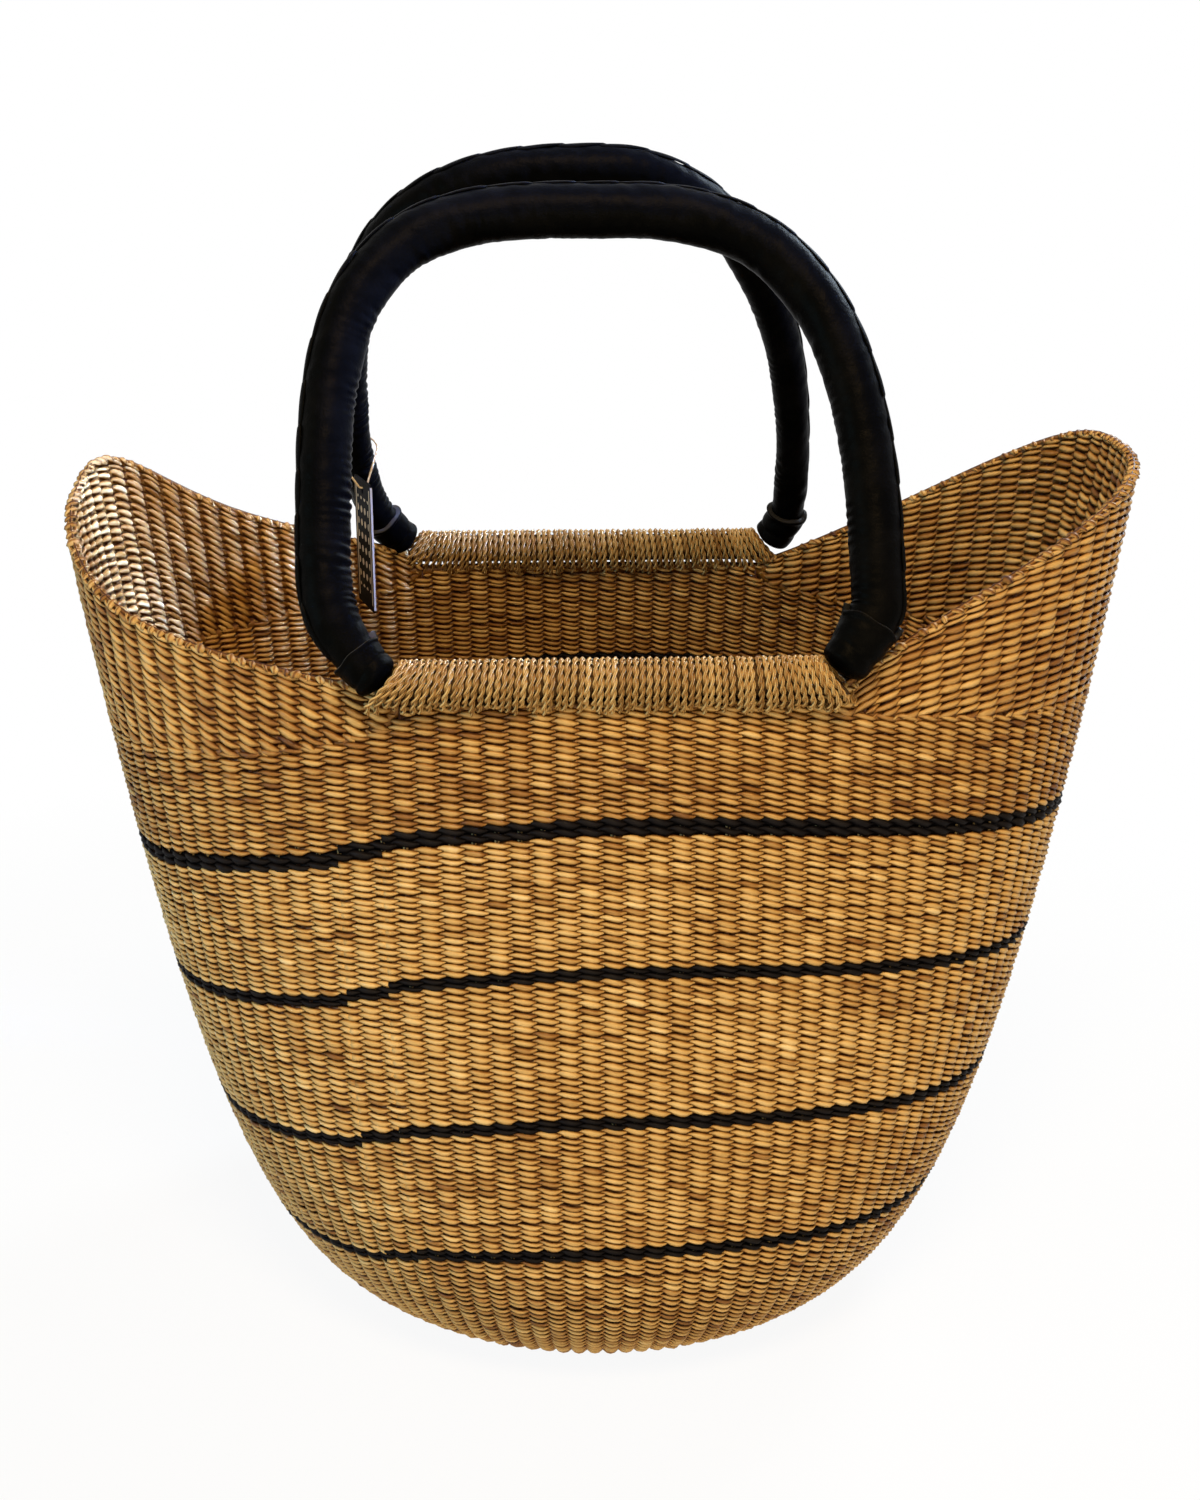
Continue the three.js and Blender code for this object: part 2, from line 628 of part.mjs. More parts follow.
// A tube along a closed row of points
function closedTube(points, radius, sides) {
  const count = points.length;
  const middle = points.reduce((sum, point) => sum.add(point), new THREE.Vector3()).divideScalar(count);
  const plane = points[0].clone().sub(middle).cross(points[Math.floor(count / 4)].clone().sub(middle)).normalize();
  return loft(points.map((point, i) => {
    const along = points[(i + 1) % count].clone().sub(points[(i + count - 1) % count]).normalize();
    const out = along.clone().cross(plane);
    return Array.from({ length: sides }, (_, k) => {
      const turn = (2 * Math.PI * k) / sides;
      return point.clone().addScaledVector(out, radius * Math.cos(turn)).addScaledVector(plane, radius * Math.sin(turn));
    });
  }), true);
}

// The card hangs from the middle of its hole, upright, its face along +Y before it is turned
function cardSolid() {
  const half = TAG_WIDTH / 2;
  const top = TAG_HOLE_INSET;
  const bottom = top - TAG_LENGTH;
  const outline = new THREE.Shape();
  outline.moveTo(-half + TAG_CORNER, bottom);
  outline.lineTo(half - TAG_CORNER, bottom);
  outline.absarc(half - TAG_CORNER, bottom + TAG_CORNER, TAG_CORNER, -Math.PI / 2, 0);
  outline.lineTo(half, top - TAG_CORNER);
  outline.absarc(half - TAG_CORNER, top - TAG_CORNER, TAG_CORNER, 0, Math.PI / 2);
  outline.lineTo(-half + TAG_CORNER, top);
  outline.absarc(-half + TAG_CORNER, top - TAG_CORNER, TAG_CORNER, Math.PI / 2, Math.PI);
  outline.lineTo(-half, bottom + TAG_CORNER);
  outline.absarc(-half + TAG_CORNER, bottom + TAG_CORNER, TAG_CORNER, Math.PI, 1.5 * Math.PI);
  outline.holes.push(new THREE.Path().absarc(0, 0, TAG_HOLE_RADIUS, 0, 2 * Math.PI, true));
  const card = new THREE.ExtrudeGeometry(outline, { depth: TAG_THICKNESS, bevelEnabled: false, curveSegments: 4 });
  card.translate(0, 0, -TAG_THICKNESS / 2);
  return card.rotateX(Math.PI / 2);
}

bag.add(...hangTag());

export default bag;
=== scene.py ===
"""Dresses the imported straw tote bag: twined straw, wound grips, laced leather handles and a hang tag."""
import json
import math

import bpy
import numpy as np
from mathutils import Matrix, Vector


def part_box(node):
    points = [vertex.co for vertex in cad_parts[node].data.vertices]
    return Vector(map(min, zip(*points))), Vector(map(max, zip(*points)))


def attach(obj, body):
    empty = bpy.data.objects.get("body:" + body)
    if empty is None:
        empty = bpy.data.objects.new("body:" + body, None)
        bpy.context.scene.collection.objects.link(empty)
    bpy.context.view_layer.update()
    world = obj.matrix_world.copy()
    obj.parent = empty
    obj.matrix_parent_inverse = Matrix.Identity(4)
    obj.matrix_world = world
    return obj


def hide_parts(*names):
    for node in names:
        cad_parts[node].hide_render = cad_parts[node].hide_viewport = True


bl_info = {
    "name": "Straw tote bag",
    "version": (1, 0, 0),
    "blender": (4, 5, 0),
    "location": "View3D > Sidebar > Tote bag",
    "description": "Models twined straw, wound grips and laced leather handles on a tote bag's frame",
    "category": "Object",
}

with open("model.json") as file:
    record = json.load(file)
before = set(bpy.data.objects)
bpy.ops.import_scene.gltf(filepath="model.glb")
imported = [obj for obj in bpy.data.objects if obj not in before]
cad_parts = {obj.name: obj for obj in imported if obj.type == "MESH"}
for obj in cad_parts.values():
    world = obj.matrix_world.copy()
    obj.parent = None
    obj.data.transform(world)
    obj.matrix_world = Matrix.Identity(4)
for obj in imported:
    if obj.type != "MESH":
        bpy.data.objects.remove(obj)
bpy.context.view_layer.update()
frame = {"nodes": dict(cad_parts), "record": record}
joints = {joint["name"]: joint for joint in frame["record"]["behaviour"]["joints"]}

# Shape of the straw wall, in metres, as its solids have it
grip_axis_height = joints["front_handle_swing"]["pos_m"][2]
grip_offset = joints["rear_handle_swing"]["pos_m"][1]
BASE_RADIUS = 0.096
WALL = 0.005
MOUTH_HALF_WIDTH = 0.2198
MOUTH_HALF_DEPTH = 0.109
BELLY = 0.0496
SIDE_FLARE = 0.36
BELLY_LIFT = 0.45
BASE_FULLNESS = 2.0
MOUTH_FULLNESS = 2.5
GRIP_LENGTH = 0.17
GRIP_RADIUS = 0.00925
CLEARANCE = 0.0003
wall_top = grip_axis_height - GRIP_RADIUS - CLEARANCE

# Rows of the wall, measured up it from the base mat
STRIPE_CLIMBS = (0.094, 0.152, 0.214, 0.2726)
STRIPE_WIDTHS = (0.0048, 0.0048, 0.0048, 0.0066)
ROW_TILT_TO_SIDE = 0.0059
ROW_LIFT_AT_FRONT = 0.0067

# Where the spirals of rows start, as a share of the way round, and the stakes from one start to the next
SPLICE = 0.667
SPLICE_STEP = 2

# Wings, with angles in degrees from the middle of each side; their straw runs on behind the handles' feet
WING_END = math.radians(73)
SHOULDER_SPAN = math.radians(72.5)
SHOULDER_FULLNESS = 0.4
WING_TIP_SHARPNESS = 6.0
WINGS = {
    "left": {
        "peak": 0.063, "turn": 17, "drop": 0.0295, "drop_to_front": 0.005,
        "front": {"span": 70, "power": 1.0, "tip": 0.55},
        "rear": {"span": 76, "power": 1.0, "tip": 0.4},
    },
    "right": {
        "peak": 0.0742, "turn": 10, "drop": 0.0225, "drop_to_front": -0.005,
        "front": {"span": 69, "power": 0.72, "tip": 0.0},
        "rear": {"span": 71, "power": 1.08, "tip": 0.0},
    },
}

# Handles, each side's spread measured outward from the end of the grip, tilt and ears in degrees
FOOT_REACH = 0.0034
KNEE_RISE = 0.034
FOOT_LENGTH = 0.026
LEG_TOP = 0.06
LACING_TURN = 18
HANDLES = {
    "front": {
        "facing": -1, "lean": 26, "rise": 0.188, "foot": 0.0077, "leg": 0.0104, "bow": 0.0106,
        "left": {
            "spread": 0.0256, "widest": 0.048, "draw_in": 0.011, "fullness": 3.5,
            "foot_rise": -0.0003, "tilt": 43.5, "cuff": 0.011, "ears": (170,),
        },
        "right": {
            "spread": 0.019, "widest": 0.03, "draw_in": 0.005, "fullness": 2.85,
            "foot_rise": 0.0026, "tilt": 54, "cuff": 0.021, "ears": (0, 180),
        },
    },
    "rear": {
        "facing": 1, "lean": 23, "rise": 0.198, "foot": 0.0074, "leg": 0.0078, "bow": 0.0096,
        "left": {
            "spread": 0.0265, "widest": 0.074, "draw_in": 0.016, "fullness": 2.75,
            "foot_rise": 0.0031, "tilt": 43, "cuff": 0.018, "ears": (),
        },
        "right": {
            "spread": 0.0115, "widest": 0.026, "draw_in": 0.001, "fullness": 2.2,
            "foot_rise": 0.0037, "tilt": 57, "cuff": 0.021, "ears": (),
        },
    },
}

# Hang tag
TAG_WIDTH = 0.03
TAG_LENGTH = 0.06
TAG_BEARING = math.radians(288)
STRING_BEARING = math.radians(281)
STRING_DROP = math.radians(30)
STRING_REACH = 0.025
STRING_LEG_RADIUS = 0.01
STRING_HOLE_RADIUS = 0.002
STRING_DIAMETER = 0.0009


def metres(name, description, default):
    """A setting measured in metres."""
    return bpy.props.FloatProperty(name=name, description=description, default=default, unit="LENGTH")


class StrawSettings(bpy.types.PropertyGroup):
    """Sizes of the twined straw."""

    stakes: bpy.props.IntProperty(
        name="Stakes", description="Stakes round the wall, an even number", default=120, min=24, step=2)
    row_pitch: metres("Row pitch", "Height of one twined row on the wall", 0.00275)
    wing_pitch: metres("Wing row pitch", "Height of one twined row on the wings", 0.0036)
    swing: metres("Swing", "How far a weft swings out past the stakes", 0.0017)
    thickness: metres("Weft thickness", "Half thickness of a weft", 0.00085)
    stake_radius: metres("Stake radius", "Radius of a stake", 0.0011)
    seed: bpy.props.IntProperty(name="Seed", description="Start of the random draws", default=7)


class GripSettings(bpy.types.PropertyGroup):
    """Sizes of the cord wound round the grips."""

    turns: bpy.props.IntProperty(name="Turns", description="Turns of cord along one grip", default=66)
    ply_radius: metres("Ply radius", "Radius of one of the cord's two plies", 0.00062)
    lay: metres("Lay", "Length of cord in which the plies turn once", 0.0095)
    bite: metres("Bite", "How far a turn reaches down into the weave", 0.0045)
    lean: metres("Lean", "Sideways lean of the turns at the grip's ends", 0.0055)


class LeatherSettings(bpy.types.PropertyGroup):
    """Sizes of the leather's creases and lacing."""

    crease: metres("Crease depth", "Depth of the creases inside the bends", 0.0007)
    crease_pitch: metres("Crease pitch", "Distance between creases", 0.0038)
    lobe_pitch: metres("Lace pitch", "Distance between stitches of the lace", 0.017)
    colour: bpy.props.FloatVectorProperty(
        name="Leather colour", description="Colour of the dyed leather", default=(0.0009, 0.0009, 0.0008),
        subtype="COLOR", min=0, max=1)


# Shader maths

class Value:
    """A shader socket that takes part in arithmetic."""

    def __init__(self, nodes, socket):
        self.nodes = nodes
        self.socket = socket

    def math(self, operation, *others):
        return self.nodes.calculate(operation, self, *others)

    def __add__(self, other):
        return self.math("ADD", other)

    def __sub__(self, other):
        return self.math("SUBTRACT", other)

    def __rsub__(self, other):
        return self.nodes.calculate("SUBTRACT", other, self)

    def __mul__(self, other):
        return self.math("MULTIPLY", other)

    def __pow__(self, other):
        return self.math("POWER", other)

    __radd__ = __add__
    __rmul__ = __mul__


class Nodes:
    """A node tree under construction."""

    def __init__(self, tree):
        self.tree = tree

    def node(self, kind, settings=None, inputs=None, output=0):
        made = self.tree.nodes.new(kind)
        for key, value in (settings or {}).items():
            if key == "stops":
                self.set_stops(made.color_ramp, value)
            else:
                setattr(made, key, value)
        for key, value in (inputs or {}).items():
            self.feed(made.inputs[key], value)
        return Value(self, made.outputs[output])

    @staticmethod
    def set_stops(ramp, stops):
        while len(ramp.elements) < len(stops):
            ramp.elements.new(0.5)
        for element, (position, colour) in zip(ramp.elements, stops):
            element.position = position
            element.color = (*colour, 1)

    def feed(self, socket, value):
        if isinstance(value, Value):
            self.tree.links.new(value.socket, socket)
        elif socket.type == "RGBA":
            socket.default_value = (*value, 1)
        else:
            socket.default_value = value

    def calculate(self, operation, *terms):
        return self.node("ShaderNodeMath", {"operation": operation}, dict(enumerate(terms)))


class Finish(Nodes):
    """A node material under construction."""

    def __init__(self, name):
        self.material = bpy.data.materials.new(name)
        self.material.use_nodes = True
        super().__init__(self.material.node_tree)
        self.shader = self.tree.nodes["Principled BSDF"]

    def surface(self, shine=None, **sockets):
        if shine is not None:
            self.shader.inputs["Specular IOR Level"].default_value = shine
        for name, value in sockets.items():
            self.feed(self.shader.inputs[name.replace("_", " ").title()], value)
        return self.material

    def attribute(self, name):
        return self.node("ShaderNodeAttribute", {"attribute_name": name}, output="Fac")

    def place(self, location=(0, 0, 0), rotation=(0, 0, 0), scale=(1, 1, 1)):
        spot = self.node("ShaderNodeTexCoord", output="Object")
        inputs = {"Vector": spot, "Location": location, "Rotation": rotation, "Scale": scale}
        return self.node("ShaderNodeMapping", None, inputs)

    def noise(self, vector, scale, detail=2.0, roughness=0.5):
        inputs = {"Vector": vector, "Scale": scale, "Detail": detail, "Roughness": roughness}
        return self.node("ShaderNodeTexNoise", None, inputs, output="Fac")

    def ramp(self, value, stops):
        return self.node("ShaderNodeValToRGB", {"stops": stops}, {"Fac": value}, output="Color")

    def mix(self, colour, other, factor, mode="MIX"):
        settings = {"data_type": "RGBA", "blend_type": mode}
        return self.node("ShaderNodeMix", settings, {"Factor": factor, 6: colour, 7: other}, output=2)

    def bump(self, height, strength, distance):
        inputs = {"Height": height, "Strength": strength, "Distance": distance}
        return self.node("ShaderNodeBump", None, inputs, output="Normal")


# Colours from dark to pale, each with its place on the ramp
NATURAL_TONES = (
    (0.0, (0.045, 0.011, 0.001)),
    (0.3, (0.23, 0.092, 0.013)),
    (0.55, (0.5, 0.285, 0.08)),
    (0.8, (0.66, 0.43, 0.16)),
    (1.0, (0.78, 0.58, 0.28)),
)
DYED_TONES = (
    (0.0, (0.003, 0.002, 0.002)),
    (0.6, (0.011, 0.008, 0.006)),
    (0.86, (0.03, 0.022, 0.015)),
    (1.0, (0.42, 0.28, 0.11)),
)
CORD_TONES = (
    (0.0, (0.06, 0.017, 0.002)),
    (0.35, (0.32, 0.155, 0.036)),
    (0.65, (0.64, 0.41, 0.14)),
    (1.0, (0.84, 0.64, 0.33)),
)
# Packed grass: dark, painted shade where it shows between the cord's turns
PACKED_SHADE_TONES = ((0.3, (0.03, 0.012, 0.003)), (0.7, (0.13, 0.065, 0.02)))
TWINE_TONES = ((0.3, (0.3, 0.17, 0.06)), (0.7, (0.62, 0.44, 0.22)))


# Strands: fibres along and round them, clouds of tone, and painted shade along their edges and where they
# dip in
FIBRES_PER_METRE = 140.0
FIBRES_PER_TURN = 14.0
FIBRE_TONE_STEP = 9.0
FIBRE_SHARE = 0.3
CLOUDS_PER_METRE = 16.0
CLOUD_SHARE = 0.25
EDGE_SHADE = 0.5
DIP_SHADE = 0.2


def strand_finish(name, stops, roughness, shine):
    """Grass strands: each stitch has a tone of its own, fibres along it and painted shade along its edges
    and where it dips in.
    """
    finish = Finish(name)
    along, around, tone, crown = (finish.attribute(mark) for mark in ("along", "around", "tone", "crown"))
    spot = {"X": along * FIBRES_PER_METRE, "Y": around * FIBRES_PER_TURN, "Z": tone * FIBRE_TONE_STEP}
    vector = finish.node("ShaderNodeCombineXYZ", None, spot)
    fibre = finish.noise(vector, scale=1.0, detail=3.0, roughness=0.6)
    cloud = finish.noise(finish.place(), CLOUDS_PER_METRE)
    edge = 1 - (around * 4.0 - 1).math("ABSOLUTE")
    dip = (1 - crown) ** 2.0
    # Painted shade: darker along each strand's upper and lower edges, between rows, and where it dips
    # behind a stake
    shade = tone + (cloud - 0.5) * CLOUD_SHARE + (fibre - 0.5) * FIBRE_SHARE
    shade = shade - edge ** 3.0 * EDGE_SHADE - dip * DIP_SHADE
    return finish.surface(shine, base_color=finish.ramp(shade, stops),
                          roughness=(fibre - 0.5) * 0.2 + roughness,
                          normal=finish.bump(fibre, strength=0.3, distance=0.0004))


LEATHER_SHINE = 0.014
LEATHER_TINT = (1.0, 0.86, 0.62, 1)
RUB_TINT = (1.0, 0.7, 0.4)
RUB_GAIN = 2.0
RUB_LIFT = 0.0015
RUB_START = 0.45
RUB_STEEPNESS = 2.2
RUBS_PER_METRE = 55.0
GRAINS_PER_METRE = 520.0
LEATHER_ROUGHNESS = 0.38
CUT_EDGE = (0.055, 0.048, 0.038)


def leather_finish(name, colour):
    """Dyed leather with a fine grain, brown rub marks and a satin skin."""
    finish = Finish(name)
    place = finish.place()
    rub = finish.noise(place, RUBS_PER_METRE, detail=4.0, roughness=0.65)
    grain = finish.noise(place, GRAINS_PER_METRE, detail=4.0, roughness=0.65)
    wear_and_highlight = tuple(value * RUB_GAIN + RUB_LIFT * share for value, share in zip(colour, RUB_TINT))
    skin = finish.mix(tuple(colour), wear_and_highlight, (rub - RUB_START) * RUB_STEEPNESS)
    # Pale cut edges where the edge mark is set; on the lace stitches' tips this is a painted highlight
    skin = finish.mix(skin, CUT_EDGE, finish.attribute("edge"))
    finish.shader.inputs["Specular Tint"].default_value = LEATHER_TINT
    return finish.surface(LEATHER_SHINE, base_color=skin, roughness=(rub - 0.5) * 0.3 + LEATHER_ROUGHNESS,
                          normal=finish.bump(grain + rub * 0.8, strength=0.5, distance=0.0005))


PACKED_SHINE = 0.08


def core_finish():
    """Matte packed grass inside the grips and the handles, coloured dark as painted shade where it shows
    between the cord's turns.
    """
    finish = Finish("packed grass")
    fibre = finish.noise(finish.place(scale=(0.08, 1.0, 1.0)), scale=900.0, detail=3.0)
    colour = finish.ramp(fibre, PACKED_SHADE_TONES)
    return finish.surface(PACKED_SHINE, base_color=colour, roughness=(fibre - 0.5) * 0.2 + 0.8,
                          normal=finish.bump(fibre, strength=0.4, distance=0.0004))


# Meshes

def make_piece(name, points, faces, material, uvs=None, **attributes):
    """One object at the origin from points, four-cornered faces and named point values."""
    mesh = bpy.data.meshes.new(name)
    mesh.vertices.add(len(points))
    mesh.vertices.foreach_set("co", np.asarray(points, dtype=np.float32).ravel())
    mesh.loops.add(faces.size)
    mesh.loops.foreach_set("vertex_index", faces.astype(np.int32).ravel())
    mesh.polygons.add(len(faces))
    mesh.polygons.foreach_set("loop_start", np.arange(0, faces.size, 4, dtype=np.int32))
    mesh.polygons.foreach_set("use_smooth", np.ones(len(faces), dtype=bool))
    if uvs is not None:
        layer = mesh.uv_layers.new(name="OFBake")
        layer.uv.foreach_set("vector", uvs.astype(np.float32).ravel())
    for label, values in attributes.items():
        attribute = mesh.attributes.new(label, "FLOAT", "POINT")
        attribute.data.foreach_set("value", np.asarray(values, dtype=np.float32))
    mesh.update(calc_edges=True)
    mesh.materials.append(material)
    piece = bpy.data.objects.new(name, mesh)
    bpy.context.collection.objects.link(piece)
    return piece


def settle_piece(piece, body, slot, *nodes):
    """Ties a finished piece to its body and hides the solids it stands for; its slot is not used."""
    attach(piece, body)
    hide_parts(*nodes)
    return piece


def unit(vectors):
    return vectors / np.linalg.norm(vectors, axis=-1, keepdims=True)


def run_length(points):
    steps = np.linalg.norm(np.diff(points, axis=0), axis=1)
    return np.concatenate([[0.0], np.cumsum(steps)])


def along_line(run, runs, points):
    """Points at lengths along a line whose own points lie at given lengths."""
    return np.stack([np.interp(run, runs, values) for values in points.T], axis=-1)


def smooth(share):
    share = np.clip(share, 0.0, 1.0)
    return share * share * (3 - 2 * share)


def ring_quads(count, sides, closed=False):
    """Four-cornered faces between rings of points that follow one another."""
    ring = np.arange(count if closed else count - 1)[:, None]
    here = ring * sides
    there = (ring + 1) % count * sides
    k = np.arange(sides)[None, :]
    k1 = (k + 1) % sides
    return np.stack([here + k, there + k, there + k1, here + k1], axis=-1)


class Strands:
    """Collects four-sided tubes along strands and makes one mesh of them."""

    SIDES = 4
    AROUND = (0.0, 0.25, 0.5, 0.25)
    UV_MARGIN = 0.06
    UV_SHARE = 0.88

    def __init__(self):
        self.strips = []

    def add(self, centre, out, up, half_out, half_up, closed, tone, along, crown):
        turn = 2 * np.pi * np.arange(self.SIDES) / self.SIDES
        count = len(centre)
        half_out = np.broadcast_to(half_out, count)
        half_up = np.broadcast_to(half_up, count)
        wide = half_out[:, None, None] * np.cos(turn)[None, :, None] * out[:, None, :]
        tall = half_up[:, None, None] * np.sin(turn)[None, :, None] * up[:, None, :]
        marks = [np.repeat(np.broadcast_to(mark, count), self.SIDES) for mark in (tone, along, crown)]
        self.strips.append((centre[:, None, :] + wide + tall, closed, marks))

    def strip_uvs(self, shape, strip, last):
        low = (strip + self.UV_MARGIN) / len(self.strips)
        tall = self.UV_SHARE / len(self.strips)
        k = np.arange(self.SIDES)[None, :]
        u0 = np.broadcast_to(np.arange(last)[:, None] / last, shape)
        v0 = np.broadcast_to(low + tall * k / self.SIDES, shape)
        u1 = u0 + 1.0 / last
        v1 = v0 + tall / self.SIDES
        return np.stack([u0, v0, u1, v0, u1, v1, u0, v1], axis=-1).reshape(-1, 4, 2)

    def make(self, name, material):
        sides = self.SIDES
        points, faces, uvs, marks, turns = [], [], [], [], []
        start = 0
        for strip, (rings, closed, values) in enumerate(self.strips):
            count = len(rings)
            points.append(rings.reshape(-1, 3))
            marks.append(values)
            turns.append(np.tile(self.AROUND, count))
            quads = ring_quads(count, sides, closed)
            faces.append(quads.reshape(-1, 4) + start)
            uvs.append(self.strip_uvs(quads.shape[:2], strip, len(quads)))
            if not closed:
                first = np.arange(sides)
                faces.append(np.array([first, (count - 1) * sides + first[::-1]]) + start)
                uvs.append(np.full((2, 4, 2), (strip + 0.5) / len(self.strips)))
            start += count * sides
        tone, along, crown = (np.concatenate([values[i] for values in marks]) for i in range(3))
        points, faces, uvs, around = (np.concatenate(part) for part in (points, faces, uvs, turns))
        return make_piece(name, points, faces, material, uvs,
                          tone=tone, along=along, crown=crown, around=around)


def lofted_piece(name, rings, material, **attributes):
    """A closed tube through rings of points, with its two ends drawn together."""
    count, sides = rings.shape[:2]
    walls = ring_quads(count, sides).reshape(-1, 4)
    half = np.arange(sides // 2 - 1)
    cap = np.stack([half, half + 1, sides - 2 - half, sides - 1 - half], axis=-1)
    faces = np.concatenate([walls, cap, (count - 1) * sides + cap[:, ::-1]])
    flat = {label: np.broadcast_to(values, (count, sides)).ravel() for label, values in attributes.items()}
    return make_piece(name, rings.reshape(-1, 3), faces, material, **flat)


# Straw wall

def lookup(table, row, column):
    """Values of a table between its rows and columns."""
    low = np.minimum(row.astype(int), table.shape[0] - 2)
    left = np.minimum(column.astype(int), table.shape[1] - 2)
    rise = row - low
    across = column - left

    def along(line):
        return table[line, left] * (1 - across) + table[line, left + 1] * across

    return along(low) * (1 - rise) + along(low + 1) * rise


class Wall:
    """The straw wall's outer face, its stakes and its rows, in metres."""

    TOP = 0.4
    LEVELS = 70
    FRACTIONS = 1441
    ANGLES = 5761
    LONGEST_CLIMB = 0.42
    CLIMBS = 260
    QUADRANT = 91
    HEIGHTS = 400
    LOW_HEIGHTS = 2.2

    def __init__(self, stakes):
        self.stakes = stakes
        fractions = np.linspace(0.0, 1.0, self.FRACTIONS)
        angles = np.linspace(0.0, 2 * np.pi, self.ANGLES)
        table = []
        for height in np.linspace(0.0, self.TOP, self.LEVELS):
            length = run_length(self.point(angles, np.full_like(angles, height)))
            table.append(np.interp(fractions, length / length[-1], angles))
        self.angle_table = np.array(table)
        climbs = np.linspace(0.0, self.LONGEST_CLIMB, self.CLIMBS)
        heights = self.TOP * np.linspace(0.0, 1.0, self.HEIGHTS) ** self.LOW_HEIGHTS
        table = []
        for angle in np.linspace(0.0, np.pi / 2, self.QUADRANT):
            length = run_length(self.point(np.full_like(heights, angle), heights))
            table.append(np.interp(climbs, length, heights))
        self.height_table = np.array(table)

    @staticmethod
    def section(height):
        share = np.maximum(height, 0.0) / grip_axis_height
        half_width = BASE_RADIUS + (MOUTH_HALF_WIDTH - BASE_RADIUS) * share ** SIDE_FLARE
        half_depth = BASE_RADIUS + (MOUTH_HALF_DEPTH - BASE_RADIUS) * share
        half_depth = half_depth + BELLY * np.sin(np.pi * share ** BELLY_LIFT)
        return half_width, half_depth, 2.0 / (BASE_FULLNESS + (MOUTH_FULLNESS - BASE_FULLNESS) * share)

    def point(self, angle, height):
        half_width, half_depth, power = self.section(height)
        x = half_width * np.sign(np.cos(angle)) * np.abs(np.cos(angle)) ** power
        y = half_depth * np.sign(np.sin(angle)) * np.abs(np.sin(angle)) ** power
        return np.stack([x, y, height + 0.0 * angle], axis=-1)

    def normal(self, angle, height):
        turn = 0.02
        lift = 0.0005
        across = self.point(angle + turn, height) - self.point(angle - turn, height)
        up = self.point(angle, height + lift) - self.point(angle, np.maximum(height - lift, 0.0))
        return unit(np.cross(across, up))

    def middle(self, angle, height):
        """Middle of the wall's thickness and the way out of it."""
        out = self.normal(angle, height)
        return self.point(angle, height) - out * (WALL / 2), out

    def angle_at(self, column, height):
        """Angle of a stake, counted round the wall from the middle of the right side, at a height."""
        level = np.clip(height / self.TOP * (self.LEVELS - 1), 0, self.LEVELS - 1.001)
        turns = np.floor(column / self.stakes)
        spot = (column / self.stakes - turns) * (self.FRACTIONS - 1)
        return lookup(self.angle_table, level, spot) + 2 * np.pi * turns

    def climbed(self, angle, climb):
        """Height reached by climbing the wall from the base mat at an angle."""
        folded = np.abs(np.arctan2(np.sin(angle), np.cos(angle)))
        folded = np.where(folded > np.pi / 2, np.pi - folded, folded)
        spot = folded / (np.pi / 2) * (self.QUADRANT - 1)
        rise = np.clip(climb / self.LONGEST_CLIMB * (self.CLIMBS - 1), 0, self.CLIMBS - 1.001)
        return lookup(self.height_table, spot, rise)

    def row_height(self, angle, climb):
        settle = np.minimum(1.0, climb / STRIPE_CLIMBS[0])
        lean = ROW_TILT_TO_SIDE * np.cos(angle) - ROW_LIFT_AT_FRONT * np.cos(2 * angle)
        return self.climbed(angle, np.maximum(0.0, climb + settle * lean))

    def level(self, climb):
        """Height of the row at a climb, as a function of the angle."""
        return lambda angle: self.row_height(angle, climb)

    def meet(self, column, height, level, rounds=3):
        """Angle and height where stakes cross a line, found from a first guess of the height."""
        for _ in range(rounds):
            angle = self.angle_at(column, height)
            height = level(angle)
        return angle, height

    @staticmethod
    def shoulder(angle):
        """Height where the level rows end: under the grips, and lower under each wing."""
        turn = np.arctan2(np.sin(angle), np.abs(np.cos(angle)))
        fall = np.maximum(np.cos(np.pi / 2 * np.minimum(np.abs(turn) / SHOULDER_SPAN, 1.0)), 0.0)
        left, right = (WINGS[side]["drop"] - WINGS[side]["drop_to_front"] * np.sin(turn) for side in WINGS)
        drop = np.where(np.cos(angle) > 0, right, left)
        return wall_top - drop * fall ** SHOULDER_FULLNESS

    @staticmethod
    def rim(side, turn):
        """Height of a wing's rim, with turn counted from the middle of the side to the rear."""
        wing = WINGS[side]
        peak_turn = math.radians(wing["turn"])
        from_peak = turn - peak_turn

        def slope(end, way):
            reach = math.radians(end["span"]) - way * peak_turn
            fall = np.maximum(np.cos(np.pi / 2 * np.minimum(np.abs(from_peak) / reach, 1.0)), 0.0)
            return fall ** end["power"] * (1 - end["tip"]) + fall ** WING_TIP_SHARPNESS * end["tip"]

        slopes = np.where(from_peak > 0, slope(wing["rear"], 1), slope(wing["front"], -1))
        return wall_top + wing["peak"] * slopes


